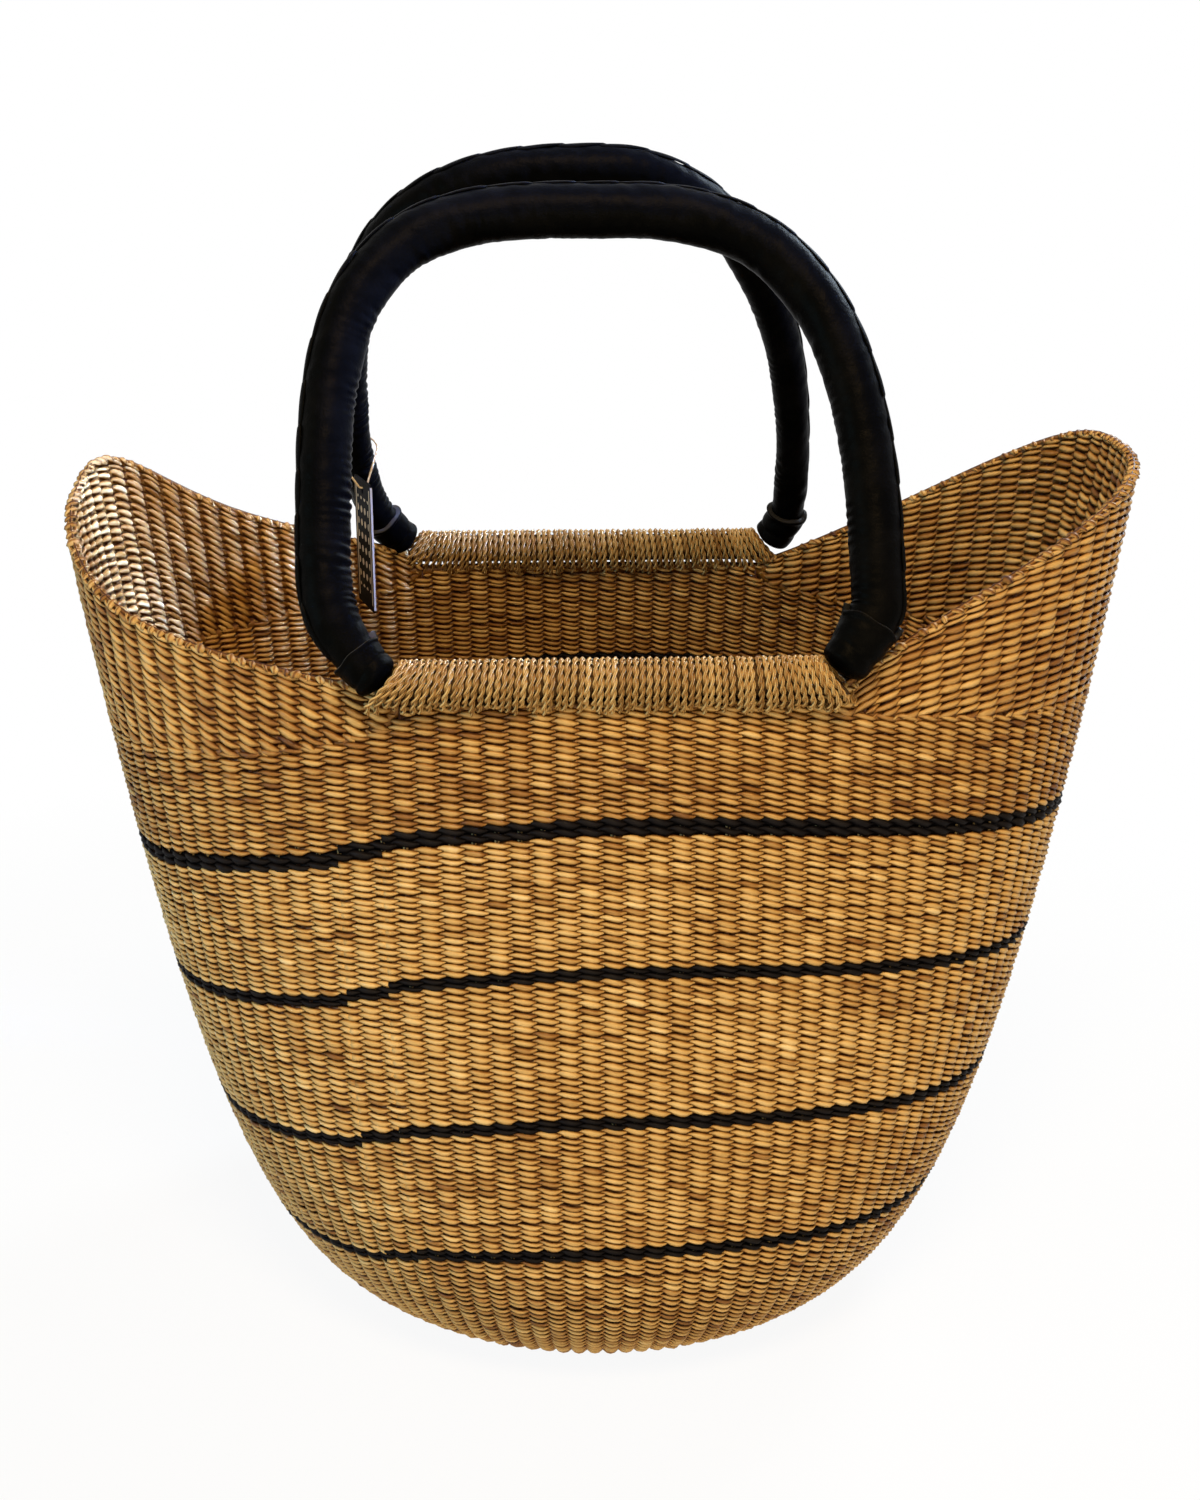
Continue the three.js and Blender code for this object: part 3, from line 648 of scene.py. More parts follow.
class Weaver:
    """Twines pairs of wefts round the stakes along given rows."""

    # Rows: spirals side by side, points to a stake, how far a row drifts and what is left of its ends
    STARTS = 2
    STEPS = 4
    DRIFT = 0.06
    DRIFT_STEP = 9
    OPEN_END = 0.3
    # Tones: stitches to a blade of grass, and how much blades and stitches differ
    BLADE = 14
    BLADE_SPREAD = 0.045
    STITCH_SPREAD = 0.05
    ODD_TONES = (0.0, -0.2, 0.14)
    ODD_SHARES = (0.92, 0.045, 0.035)
    # Stitches, from the dip behind one stake to the crest in front of the next
    OVERLAP = 0.06
    CREST_POWER = 0.8
    SWING_POWER = 0.55
    WIDTH_SPREAD = 0.13
    WIDTH_LIMITS = (0.65, 1.4)
    REACH_SPREAD = 0.08
    SWAY_SPREAD = 0.06
    SLANT = 0.25
    NARROW = 0.23
    CREST_WIDTH = 0.29
    DIP_THICKNESS = 0.6
    WEFTS_APART = 7.0
    # Packed grass behind the wefts, and the thicker strips of it inside the wall, both dark: painted shade
    # where the gaps between stitches show through
    PACKED_THICKNESS = 0.0004
    PACKED_HEIGHT = 0.65
    PACKED_SHADE_TONE = 0.17
    PACKED_CROWN = 0.75
    PACKING_THICKNESS = 0.0008
    PACKING_SHADE_TONE = 0.25
    PACKING_CROWN = 0.6
    # First guesses of a row's height for each metre of climb, and of a stake's height
    FIRST_RISE = 0.8
    FIRST_HEIGHT = 0.15
    # Stakes
    STAKE_POINTS = 7
    STAKE_RUN = 0.1
    STAKE_TONE = 0.1
    STAKE_CROWN = 0.8
    SHORTEST_STAKE = 0.001

    def __init__(self, wall, settings, seed):
        self.wall = wall
        self.settings = settings
        self.draw = np.random.default_rng(settings.seed + seed)
        self.strands = Strands()

    def columns(self, first, last):
        count = int(round((last - first) * self.STEPS))
        return first + np.arange(count + 1) / self.STEPS

    def stitch_tones(self, tone, count):
        """A tone for each stitch: blades of grass run over several, and a few are brown or pale."""
        draw = self.draw
        blades = np.repeat(draw.normal(0.0, self.BLADE_SPREAD, count // self.BLADE + 1), self.BLADE)[:count]
        odd = draw.choice(self.ODD_TONES, count, p=self.ODD_SHARES)
        return tone + blades + odd + draw.normal(0.0, self.STITCH_SPREAD, count)

    def twine(self, column, middle, out, pitch, tone, ends):
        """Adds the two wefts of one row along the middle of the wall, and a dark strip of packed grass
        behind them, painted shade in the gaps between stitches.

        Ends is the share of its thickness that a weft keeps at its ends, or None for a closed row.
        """
        settings = self.settings
        draw = self.draw
        ahead = np.roll(middle, -1, axis=0) - np.roll(middle, 1, axis=0)
        if ends is None:
            ahead[0] = ahead[-1] = middle[1] - middle[-2]
        else:
            ahead[0] = middle[1] - middle[0]
            ahead[-1] = middle[-1] - middle[-2]
        up = np.cross(out, unit(ahead))
        along = run_length(middle)
        pitch = np.broadcast_to(pitch, len(column))
        stitch = np.floor(column + 0.5).astype(int)
        stitch -= stitch.min()
        count = stitch.max() + 1
        behind = (1 - self.OVERLAP) / (1 + self.OVERLAP)
        for phase in (0, 1):
            wave = np.pi * (column - phase)
            bulge = (np.cos(wave) + self.OVERLAP) / (1 + self.OVERLAP)
            share = np.where(bulge > 0, bulge, -bulge / behind)
            crest = share ** self.CREST_POWER
            swing = settings.swing * np.sign(bulge) * share ** self.SWING_POWER
            width = np.clip(draw.lognormal(0.0, self.WIDTH_SPREAD, count), *self.WIDTH_LIMITS)[stitch]
            reach = draw.normal(1.0, self.REACH_SPREAD, count)[stitch]
            sway = draw.normal(0.0, self.SWAY_SPREAD, count)[stitch]
            shade = self.stitch_tones(tone, count)[stitch]
            lift = pitch * (sway * crest - self.SLANT * np.sin(wave))
            half_up = pitch * (self.NARROW + self.CREST_WIDTH * crest) * (1 + (width - 1) * crest)
            half_out = settings.thickness * (self.DIP_THICKNESS + (1 - self.DIP_THICKNESS) * crest)
            centre = middle + out * (swing * (1 + (reach - 1) * crest))[:, None] + up * lift[:, None]
            fibres = along + phase * self.WEFTS_APART
            self.add_run(centre, out, up, half_out, half_up, ends, shade, fibres, crest)
        # A dark strip of packed grass behind the wefts: painted shade in the gaps between stitches
        every = slice(None, None, self.STEPS)
        packed = pitch[every] * self.PACKED_HEIGHT
        self.add_run(middle[every], out[every], up[every], self.PACKED_THICKNESS, packed, ends,
                     self.PACKED_SHADE_TONE, along[every], self.PACKED_CROWN)

    def add_run(self, centre, out, up, half_out, half_up, ends, tone, along, crown):
        """Adds one strand, closed or with its ends drawn in, cut into stretches of one round."""
        count = len(centre)
        if count < 2:
            return
        values = [np.broadcast_to(value, count) for value in (half_out, half_up, tone, along, crown)]
        if ends is None:
            parts = [slice(0, -1)]
        else:
            taper = np.ones(count)
            taper[[0, -1]] = ends
            values[0] = values[0] * taper
            values[1] = values[1] * taper
            lap = self.STEPS * self.wall.stakes
            parts = [slice(first, first + lap + 1) for first in range(0, count - 1, lap)]
        for part in parts:
            half_out, half_up, *marks = (value[part] for value in values)
            self.strands.add(centre[part], out[part], up[part], half_out, half_up, ends is None, *marks)

    def level_rows(self, low, pitch, rows, tone, ceiling=None):
        """An even number of rows in two spirals down the wall, or their stretches below a ceiling."""
        wall = self.wall
        for start in range(self.STARTS):
            first = round(wall.stakes * SPLICE) - start * SPLICE_STEP
            column = self.columns(first, first + rows // self.STARTS * wall.stakes)
            rounds = (column - first) / wall.stakes
            knots = np.arange(first, column[-1] + self.DRIFT_STEP, self.DRIFT_STEP)
            drift = np.interp(column, knots, self.draw.normal(0.0, self.DRIFT, len(knots)))
            spiral = low + pitch * (rows - start + 0.5 - self.STARTS * rounds + drift)
            angle, height = wall.meet(column, spiral * self.FIRST_RISE, wall.level(spiral))
            middle, out = wall.middle(angle, height)
            inside = np.ones(len(column), dtype=bool)
            if ceiling is not None:
                inside = height < ceiling(angle) + pitch * 0.5
            if inside.all():
                self.twine(column, middle, out, pitch, tone, 1.0)
            else:
                self.stretches(column, middle, out, inside, pitch, tone)

    def stretches(self, column, middle, out, inside, pitch, tone):
        """Twines only those stretches of a row that lie inside."""
        pitch = np.broadcast_to(pitch, len(column))
        edges = np.flatnonzero(np.diff(np.concatenate([[0], inside.astype(int), [0]])))
        for first, last in zip(edges[::2], edges[1::2]):
            if last - first > self.STEPS:
                span = slice(first, last)
                self.twine(column[span], middle[span], out[span], pitch[span], tone, self.OPEN_END)

    def packing(self, level, first, last, half_height, tone=PACKING_SHADE_TONE):
        """Packed grass inside the wall along a height given as a function of the angle."""
        column = np.arange(first, last + 1.0)
        spots = self.wall.meet(column, np.full_like(column, wall_top), level)
        middle, out = self.wall.middle(*spots)
        up = np.cross(out, unit(np.gradient(middle, axis=0)))
        along = run_length(middle)
        self.add_run(middle, out, up, self.PACKING_THICKNESS, half_height, self.OPEN_END, tone, along,
                     self.PACKING_CROWN)

    def stakes(self, low, high, first=0, last=None, tone=STAKE_TONE):
        """Upright stakes between two heights given as functions of the angle."""
        wall = self.wall
        share = np.linspace(0.0, 1.0, self.STAKE_POINTS)
        guess = np.full_like(share, self.FIRST_HEIGHT)

        def between(angle):
            return low(angle) * (1 - share) + high(angle) * share

        for stake in range(first, wall.stakes if last is None else last):
            angle, height = wall.meet(np.full_like(share, stake), guess, between)
            centre, out = wall.middle(angle, height)
            if height[-1] - height[0] < self.SHORTEST_STAKE:
                continue
            across = unit(np.cross(np.gradient(centre, axis=0), out))
            radius = self.settings.stake_radius
            along = share * self.STAKE_RUN
            self.strands.add(centre, across, out, radius, radius, False, tone, along, self.STAKE_CROWN)


def stripe_edges():
    return [(climb - width / 2, climb + width / 2) for climb, width in zip(STRIPE_CLIMBS, STRIPE_WIDTHS)]


class TOTE_OT_bands(bpy.types.Operator):
    """Twine the natural straw bands of the wall"""

    bl_idname = "tote.bands"
    bl_label = "Straw bands"

    # Tone of each band from the base up, lightest in the middle: the lower and upper bands are darker,
    # painted shade where the light falls off toward the base and under the grips
    TONES = (0.55, 0.58, 0.65, 0.63, 0.5)
    TOP_REACH = 0.08
    GRIP_STAKES = 10.5
    PACKING_LIFT = -0.0006
    PACKING = 0.0035
    MOST_ROWS = 24
    GRIPS_AT = (0.25, 0.75)
    SEED_STEP = 10

    def execute(self, context):
        settings = context.scene.tote_straw
        wall = Wall(settings.stakes)
        straw = strand_finish("natural straw", NATURAL_TONES, roughness=0.48, shine=0.22)
        edges = stripe_edges()
        for number in range(1, len(edges) + 2):
            low = edges[number - 2][1] if number > 1 else 0.0
            high = edges[number - 1][0] if number <= len(edges) else None
            self.band(wall, settings, number, low, high, straw)
        return {"FINISHED"}

    def band(self, wall, settings, number, low, high, material):
        top = low + self.TOP_REACH if high is None else high
        ceiling = Wall.shoulder if high is None else None
        rows = 2 * round((top - low) / settings.row_pitch / 2)
        pitch = (top - low) / rows
        halves = 2 if rows > self.MOST_ROWS and high is not None else 1
        for half in range(halves):
            weaver = Weaver(wall, settings, self.SEED_STEP * number + half)
            first = 2 * (rows * half // halves // 2)
            last = 2 * (rows * (half + 1) // halves // 2)
            floor = low + first * pitch
            weaver.level_rows(floor, pitch, last - first, self.TONES[number - 1], ceiling)
            roof = low + last * pitch
            if ceiling:
                self.pack_grips(weaver)
            weaver.stakes(wall.level(floor), ceiling or wall.level(roof))
            name = f"woven_band_{number}" + ("" if halves == 1 else "_upper" if half else "_lower")
            settle_piece(weaver.strands.make(name, material), "bag", "straw", f"wall_band_{number}")

    def pack_grips(self, weaver):
        """Packed grass from the last rows up to the grips at the front and the rear."""
        for middle in self.GRIPS_AT:
            column = middle * weaver.wall.stakes
            ends = (column - self.GRIP_STAKES, column + self.GRIP_STAKES)
            weaver.packing(lambda angle: 0 * angle + wall_top + self.PACKING_LIFT, *ends, self.PACKING)


class TOTE_OT_stripes(bpy.types.Operator):
    """Twine the dark stripes between the bands"""

    bl_idname = "tote.stripes"
    bl_label = "Dark stripes"

    ROWS = 2
    TONE = 0.36
    STAKE_TONE = 1.1
    SEED = 100

    def execute(self, context):
        settings = context.scene.tote_straw
        wall = Wall(settings.stakes)
        dyed = strand_finish("dyed straw", DYED_TONES, roughness=0.5, shine=0.05)
        for number, (low, high) in enumerate(stripe_edges(), 1):
            weaver = Weaver(wall, settings, self.SEED + number)
            pitch = (high - low) / self.ROWS
            weaver.level_rows(low, pitch, self.ROWS, self.TONE)
            weaver.stakes(wall.level(low), wall.level(high), tone=self.STAKE_TONE)
            piece = weaver.strands.make(f"woven_stripe_{number}", dyed)
            settle_piece(piece, "bag", "dark_straw", f"stripe_{number}")
        return {"FINISHED"}


class TOTE_OT_base(bpy.types.Operator):
    """Twine the round base mat from its middle outward"""

    bl_idname = "tote.base"
    bl_label = "Base mat"

    TONE = 0.5
    LIFT = 0.0029
    FIRST_RADIUS = 0.00125
    STAKES_BY_RADIUS = ((0.003, 6), (0.014, 16), (0.03, 30), (0.06, 60))
    EDGE_PACKING = 0.0045
    EDGE_OVERLAP = 2
    SEED = 130

    def execute(self, context):
        settings = context.scene.tote_straw
        weaver = Weaver(Wall(settings.stakes), settings, self.SEED)
        radius = self.FIRST_RADIUS
        while radius < BASE_RADIUS:
            counts = (count for limit, count in self.STAKES_BY_RADIUS if radius < limit)
            stakes = next(counts, settings.stakes)
            column = weaver.columns(0, stakes)
            turn = 2 * np.pi * column / stakes
            level = np.full_like(turn, self.LIFT)
            middle = np.stack([radius * np.cos(turn), radius * np.sin(turn), level], axis=-1)
            out = np.broadcast_to([0.0, 0.0, -1.0], middle.shape)
            weaver.twine(column, middle, out, settings.row_pitch, self.TONE, None)
            radius += settings.row_pitch
        ends = (0, settings.stakes + self.EDGE_OVERLAP)
        weaver.packing(lambda angle: 0 * angle, *ends, self.EDGE_PACKING, weaver.PACKED_SHADE_TONE)
        piece = weaver.strands.make("woven_base_mat", bpy.data.materials["natural straw"])
        settle_piece(piece, "bag", "straw", "base_mat")
        return {"FINISHED"}


class WingRows:
    """Rows of one wing, which follow its rim."""

    FIRST_RISE = 0.02
    ROUNDS = 4
    FLOOR_LAP = 0.25
    STEEPEST = 0.8

    def __init__(self, side, settings, seed):
        self.side = side
        self.wall = Wall(settings.stakes)
        self.weaver = Weaver(self.wall, settings, seed)
        stakes = settings.stakes
        self.first = (0 if side == "right" else stakes // 2) - stakes // 4
        self.column = self.weaver.columns(self.first, self.first + stakes // 2)

    def turn(self, angle):
        return angle if self.side == "right" else np.pi - angle

    def rim(self, angle):
        return Wall.rim(self.side, self.turn(angle))

    def row(self, drop):
        """Angle and height of a row that lies a drop below the rim."""
        guess = np.full_like(self.column, wall_top + self.FIRST_RISE)
        return self.wall.meet(self.column, guess, lambda angle: self.rim(angle) - drop, self.ROUNDS)

    def twine(self, drop, pitch, tone, floor=None):
        """Twines a row above the floor, and tells whether any of it is there."""
        angle, height = self.row(drop)
        middle, out = self.wall.middle(angle, height)
        climb = np.gradient(height) / np.linalg.norm(np.gradient(middle, axis=0), axis=1)
        inside = np.abs(self.turn(angle)) < WING_END
        if floor is not None:
            inside &= height > floor(angle) - pitch * self.FLOOR_LAP
        if not inside.any():
            return False
        level_pitch = pitch * np.sqrt(1 - np.minimum(climb ** 2, self.STEEPEST))
        self.weaver.stretches(self.column, middle, out, inside, level_pitch, tone)
        return True


class TOTE_OT_wings(bpy.types.Operator):
    """Twine the raised wings, their rows following the rim"""

    bl_idname = "tote.wings"
    bl_label = "Wings"

    TONE = 0.51
    END_STAKES = 8
    PACKING = 0.0034
    SEED = 140

    def execute(self, context):
        settings = context.scene.tote_straw
        straw = bpy.data.materials["natural straw"]
        for index, side in enumerate(WINGS):
            rows = WingRows(side, settings, self.SEED + index)
            drop = settings.wing_pitch / 2
            while rows.twine(drop, settings.wing_pitch, self.TONE, Wall.shoulder):
                drop += settings.wing_pitch
            rows.weaver.stakes(Wall.shoulder, rows.rim, rows.first + 1, rows.first + settings.stakes // 2)
            ends = (rows.first + self.END_STAKES, rows.first + settings.stakes // 2 - self.END_STAKES)
            rows.weaver.packing(Wall.shoulder, *ends, self.PACKING)
            piece = rows.weaver.strands.make(f"woven_{side}_wing", straw)
            settle_piece(piece, "bag", "straw", f"{side}_wing")
        return {"FINISHED"}


class TOTE_OT_borders(bpy.types.Operator):
    """Finish the wings' rims with tight rows and the folded ends of the stakes"""

    bl_idname = "tote.borders"
    bl_label = "Wing borders"

    ROWS = 2
    TONE = 0.55
    ROW_PITCH = 0.0025
    ROLL = 0.0012
    ROLL_ENDS = 8
    ROLL_TONE = 0.3
    # Ends of grass folded over the rim
    KNOT_SIZES = (0.4, 1.25)
    KNOT_LEANS = (0.0012, 0.0008)
    KNOT_REACH = 0.0022
    KNOT_RISE = 0.0016
    KNOT_SINK = 0.001
    KNOT_WIDTH = 0.0021
    KNOT_THICKNESS = 0.001
    KNOT_TONE = 0.04
    KNOT_TONE_SPREAD = 0.12
    KNOT_CROWN = 0.95
    KNOT_POINTS = 6
    KNOT_STEP = 0.5
    KNOT_RUN = 0.003
    SEED = 150

    def execute(self, context):
        settings = context.scene.tote_straw
        straw = bpy.data.materials["natural straw"]
        for index, side in enumerate(WINGS):
            rows = WingRows(side, settings, self.SEED + index)
            for row in range(self.ROWS):
                rows.twine(-(row + 0.5) * self.ROW_PITCH, self.ROW_PITCH, self.TONE)
            ends = (rows.first + self.ROLL_ENDS, rows.first + settings.stakes // 2 - self.ROLL_ENDS)
            top = self.ROWS * self.ROW_PITCH
            rows.weaver.packing(lambda angle: rows.rim(angle) + top, *ends, self.ROLL, self.ROLL_TONE)
            self.knots(rows)
            piece = rows.weaver.strands.make(f"woven_{side}_wing_border", straw)
            settle_piece(piece, "bag", "straw", f"{side}_wing_border")
        return {"FINISHED"}

    def knots(self, rows):
        """Ends of grass folded over the rim, two to a stake, uneven in size and lean."""
        weaver = rows.weaver
        draw = weaver.draw
        angle, height = rows.row(-self.ROWS * self.ROW_PITCH)
        middle, out = rows.wall.middle(angle, height)
        ahead = unit(np.gradient(middle, axis=0))
        bend = np.linspace(-np.pi / 2, np.pi / 2, self.KNOT_POINTS)
        inside = np.abs(rows.turn(angle)) < WING_END
        for spot in np.flatnonzero(inside & (rows.column % self.KNOT_STEP == 0)):
            size = draw.uniform(*self.KNOT_SIZES)
            lean = draw.normal(*self.KNOT_LEANS)
            up = np.cross(out[spot], ahead[spot])
            radial = np.sin(bend)[:, None] * out[spot] + np.cos(bend)[:, None] * up
            centre = middle[spot] + np.sin(bend)[:, None] * out[spot] * self.KNOT_REACH
            centre = centre + (np.cos(bend)[:, None] * self.KNOT_RISE - self.KNOT_SINK) * up
            centre = centre + (bend / np.pi)[:, None] * ahead[spot] * lean * 2
            across = np.broadcast_to(-ahead[spot], centre.shape)
            width = self.KNOT_WIDTH * size * (0.55 + 0.45 * np.cos(bend))
            tone = self.TONE + self.KNOT_TONE + draw.normal(0.0, self.KNOT_TONE_SPREAD)
            weaver.strands.add(centre, across, radial, width, self.KNOT_THICKNESS * size, False, tone,
                               bend * self.KNOT_RUN, self.KNOT_CROWN)


class TOTE_OT_grips(bpy.types.Operator):
    """Wind two-ply cord round the grips on the rim"""

    bl_idname = "tote.grips"
    bl_label = "Wound grips"

    STEPS = 72
    PATH_RADIUS = 0.0079
    END_REACH = 0.003
    END_TURNS = 0.012
    MIDDLE_LEAN = 0.0012
    BUNDLE_RADIUS = 0.0064
    BUNDLE_SIDES = 24
    BUNDLE_RINGS = 60
    BITES = (0.35, 1.3)
    SHIFT = 0.00028
    SWELL = 0.00018
    TONE = 0.6
    TONE_SPREAD = 0.07
    WANDER = 1.2
    PLY_OVERLAP = 1.05
    SEED = 200

    def execute(self, context):
        settings = context.scene.tote_grips
        cord = strand_finish("grip cord", CORD_TONES, roughness=0.6, shine=0.12)
        packed = core_finish()
        for index, (name, facing) in enumerate((("front", -1), ("rear", 1))):
            strands = Strands()
            self.wind(strands, settings, facing, np.random.default_rng(self.SEED + index))
            settle_piece(strands.make(f"wound_{name}_grip", cord), "bag", "grip_cord", f"{name}_rim_wrap")
            piece = lofted_piece(f"packed_{name}_grip", self.bundle(settings, facing), packed)
            settle_piece(piece, "bag", "grass_core", f"{name}_rim_bundle")
        return {"FINISHED"}

    def shear(self, settings, x, share):
        """How far the turns and the bundle lean along the grip, at a share of the radius above its axis."""
        run = GRIP_LENGTH / 2 + self.END_REACH
        lean = settings.lean * np.exp((np.abs(x) - run) / self.END_TURNS)
        lean = lean + self.MIDDLE_LEAN * np.abs(x) / run
        return -np.sign(x) * lean * np.clip(share, -1.0, 1.0)

    def bundle(self, settings, facing):
        """Packed grass under the turns, with its ends cut along the last turns."""
        run = GRIP_LENGTH / 2 + self.END_REACH / 2
        x = np.linspace(-run, run, self.BUNDLE_RINGS)[:, None]
        turn = 2 * np.pi * np.arange(self.BUNDLE_SIDES)[None, :] / self.BUNDLE_SIDES
        across = x + self.shear(settings, x, np.sin(turn))
        deep = facing * grip_offset + self.BUNDLE_RADIUS * np.cos(turn) + 0 * x
        high = grip_axis_height + self.BUNDLE_RADIUS * np.sin(turn) + 0 * x
        return np.stack([across, deep, high], axis=-1)

    def wind(self, strands, settings, facing, draw):
        """Two plies twisted along one winding, whose turns differ a little in place, size and bite."""
        count = settings.turns
        turn = np.arange(count * self.STEPS + 1) / self.STEPS
        whole = np.arange(count + 1)
        bite = np.interp(turn, whole, settings.bite * draw.uniform(*self.BITES, count + 1))
        shift = np.interp(turn, whole, draw.normal(0.0, self.SHIFT, count + 1))
        swell = np.interp(turn, whole, draw.normal(0.0, self.SWELL, count + 1))
        phase = 2 * np.pi * turn
        radius = self.PATH_RADIUS + swell
        outward = radius * np.sin(phase)
        upward = -radius * np.cos(phase) - bite * np.maximum(np.cos(phase), 0.0) ** 3
        run = GRIP_LENGTH / 2 + self.END_REACH
        x = -run + 2 * run * turn / count
        x = x + shift + self.shear(settings, x, upward / self.PATH_RADIUS)
        path = np.stack([x, facing * (grip_offset + outward), grip_axis_height + upward], axis=-1)
        along = run_length(path)
        ahead = unit(np.gradient(path, axis=0))
        radial = np.stack([np.zeros_like(phase), facing * np.sin(phase), -np.cos(phase)], axis=-1)
        across = unit(np.cross(ahead, radial))
        radial = np.cross(across, ahead)
        shade = self.TONE + np.repeat(draw.normal(0.0, self.TONE_SPREAD, count + 1), self.STEPS)[:len(turn)]
        wander = np.interp(turn, whole, np.cumsum(draw.normal(0.0, self.WANDER, count + 1)))
        for ply in (0.0, np.pi):
            twist = 2 * np.pi * along / settings.lay + ply + wander
            offset = np.cos(twist)[:, None] * radial + np.sin(twist)[:, None] * across
            centre = path + offset * settings.ply_radius
            thick = settings.ply_radius * self.PLY_OVERLAP
            # Crown is lowest where a ply turns under the other, where the finish paints shade
            crown = np.clip(0.55 + 0.45 * np.cos(twist), 0.0, 1.0)
            strands.add(centre, across, radial, thick, thick, False, shade, along + ply, crown)


# Leather handles

class HandleLine:
    """Middle line of a handle's leather tube from its left foot to its right foot, and its way out."""

    SPACING = 0.0008
    SMOOTHING = 9
    KNEE_GAP = 0.002
    ELBOW_POINTS = 30
    LEG_POINTS = 20
    BOW_POINTS = 160
    BOW_CROWDING = 1.3

    def __init__(self, name):
        self.handle = HANDLES[name]
        facing = self.handle["facing"]
        lean = facing * math.radians(self.handle["lean"])
        self.side_axis = np.array([0.0, math.cos(lean), math.sin(lean)])
        self.rise_axis = np.array([0.0, -math.sin(lean), math.cos(lean)])
        self.origin = np.array([0.0, facing * grip_offset, grip_axis_height])
        left = self.half(self.handle["left"]) * np.array([-1.0, 1.0])
        right = self.half(self.handle["right"])[::-1]
        rough = np.concatenate([left, right[1:]])
        length = run_length(rough)
        self.run = np.linspace(0.0, length[-1], int(length[-1] / self.SPACING) + 1)
        flat = along_line(self.run, length, rough)
        for _ in range(self.SMOOTHING):
            flat[1:-1] = (flat[:-2] + 2 * flat[1:-1] + flat[2:]) / 4
        along = unit(np.gradient(flat, axis=0))
        self.rise = flat[:, 1]
        self.centre = self.origin + flat[:, :1] * np.array([1.0, 0.0, 0.0]) + flat[:, 1:] * self.rise_axis
        self.out = -along[:, 1:] * np.array([1.0, 0.0, 0.0]) + along[:, :1] * self.rise_axis
        self.radius = self.tube_radius(self.rise)

    def half(self, side):
        """Spread and rise of one leg and its half of the bow, from the foot to the middle."""
        half_width = GRIP_LENGTH / 2 + side["spread"]
        widest = side["widest"]
        rise = self.handle["rise"]
        knee = min(KNEE_RISE, widest - self.KNEE_GAP)

        def leg(height):
            return half_width - side["draw_in"] * ((widest - height) / widest) ** 2

        slope = 2 * side["draw_in"] * (widest - knee) / widest ** 2
        out_by = 1 / math.tan(math.radians(side["tilt"]))
        start = np.array([GRIP_LENGTH / 2 + FOOT_REACH, side["foot_rise"]])
        top = np.array([leg(knee), knee])
        bend = (top[0] - slope * knee - start[0] + out_by * start[1]) / (out_by - slope)
        corner = np.array([start[0] + out_by * (bend - start[1]), bend])
        share = np.linspace(0.0, 1.0, self.ELBOW_POINTS)[:, None]
        elbow = start * (1 - share) ** 2 + 2 * corner * share * (1 - share) + top * share ** 2
        heights = np.linspace(knee, widest, self.LEG_POINTS)[1:-1]
        turn = np.pi / 2 * np.linspace(0.0, 1.0, self.BOW_POINTS) ** self.BOW_CROWDING
        power = 2 / side["fullness"]
        bow_x = half_width * np.maximum(np.cos(turn), 0.0) ** power
        bow_x[-1] = 0.0
        bow = np.stack([bow_x, widest + (rise - widest) * np.sin(turn) ** power], axis=-1)
        return np.concatenate([elbow, np.stack([leg(heights), heights], axis=-1), bow])

    def tube_radius(self, height):
        handle = self.handle
        foot_share = smooth(height / FOOT_LENGTH)
        bow_share = smooth((height - LEG_TOP) / (handle["rise"] - LEG_TOP))
        leg = handle["foot"] + (handle["leg"] - handle["foot"]) * foot_share
        return leg + (handle["bow"] - handle["leg"]) * bow_share

    def at(self, run):
        """Centre, way out and tube radius at lengths along the line."""
        centre = along_line(run, self.run, self.centre)
        out = unit(along_line(run, self.run, self.out))
        return centre, out, np.interp(run, self.run, self.radius)

    def run_at(self, direction, height):
        """Length along the line from the left foot to a height on the left or right leg."""
        top = np.argmax(self.rise)
        if direction < 0:
            return np.interp(height, self.rise[:top], self.run[:top])
        return np.interp(-height, -self.rise[top:], self.run[top:])


def ripple(draw, run, turn, waves, run_scale, turn_scale):
    """Smooth uneven bumps over a tube, from a few waves along and round it."""
    total = np.zeros(np.broadcast(run, turn).shape)
    for _ in range(waves):
        pace = draw.uniform(0.4, 1.0) / run_scale
        laps = draw.integers(0, turn_scale + 1)
        total = total + np.sin(2 * np.pi * run * pace + laps * turn + draw.uniform(0, 2 * np.pi))
    return total / math.sqrt(waves)


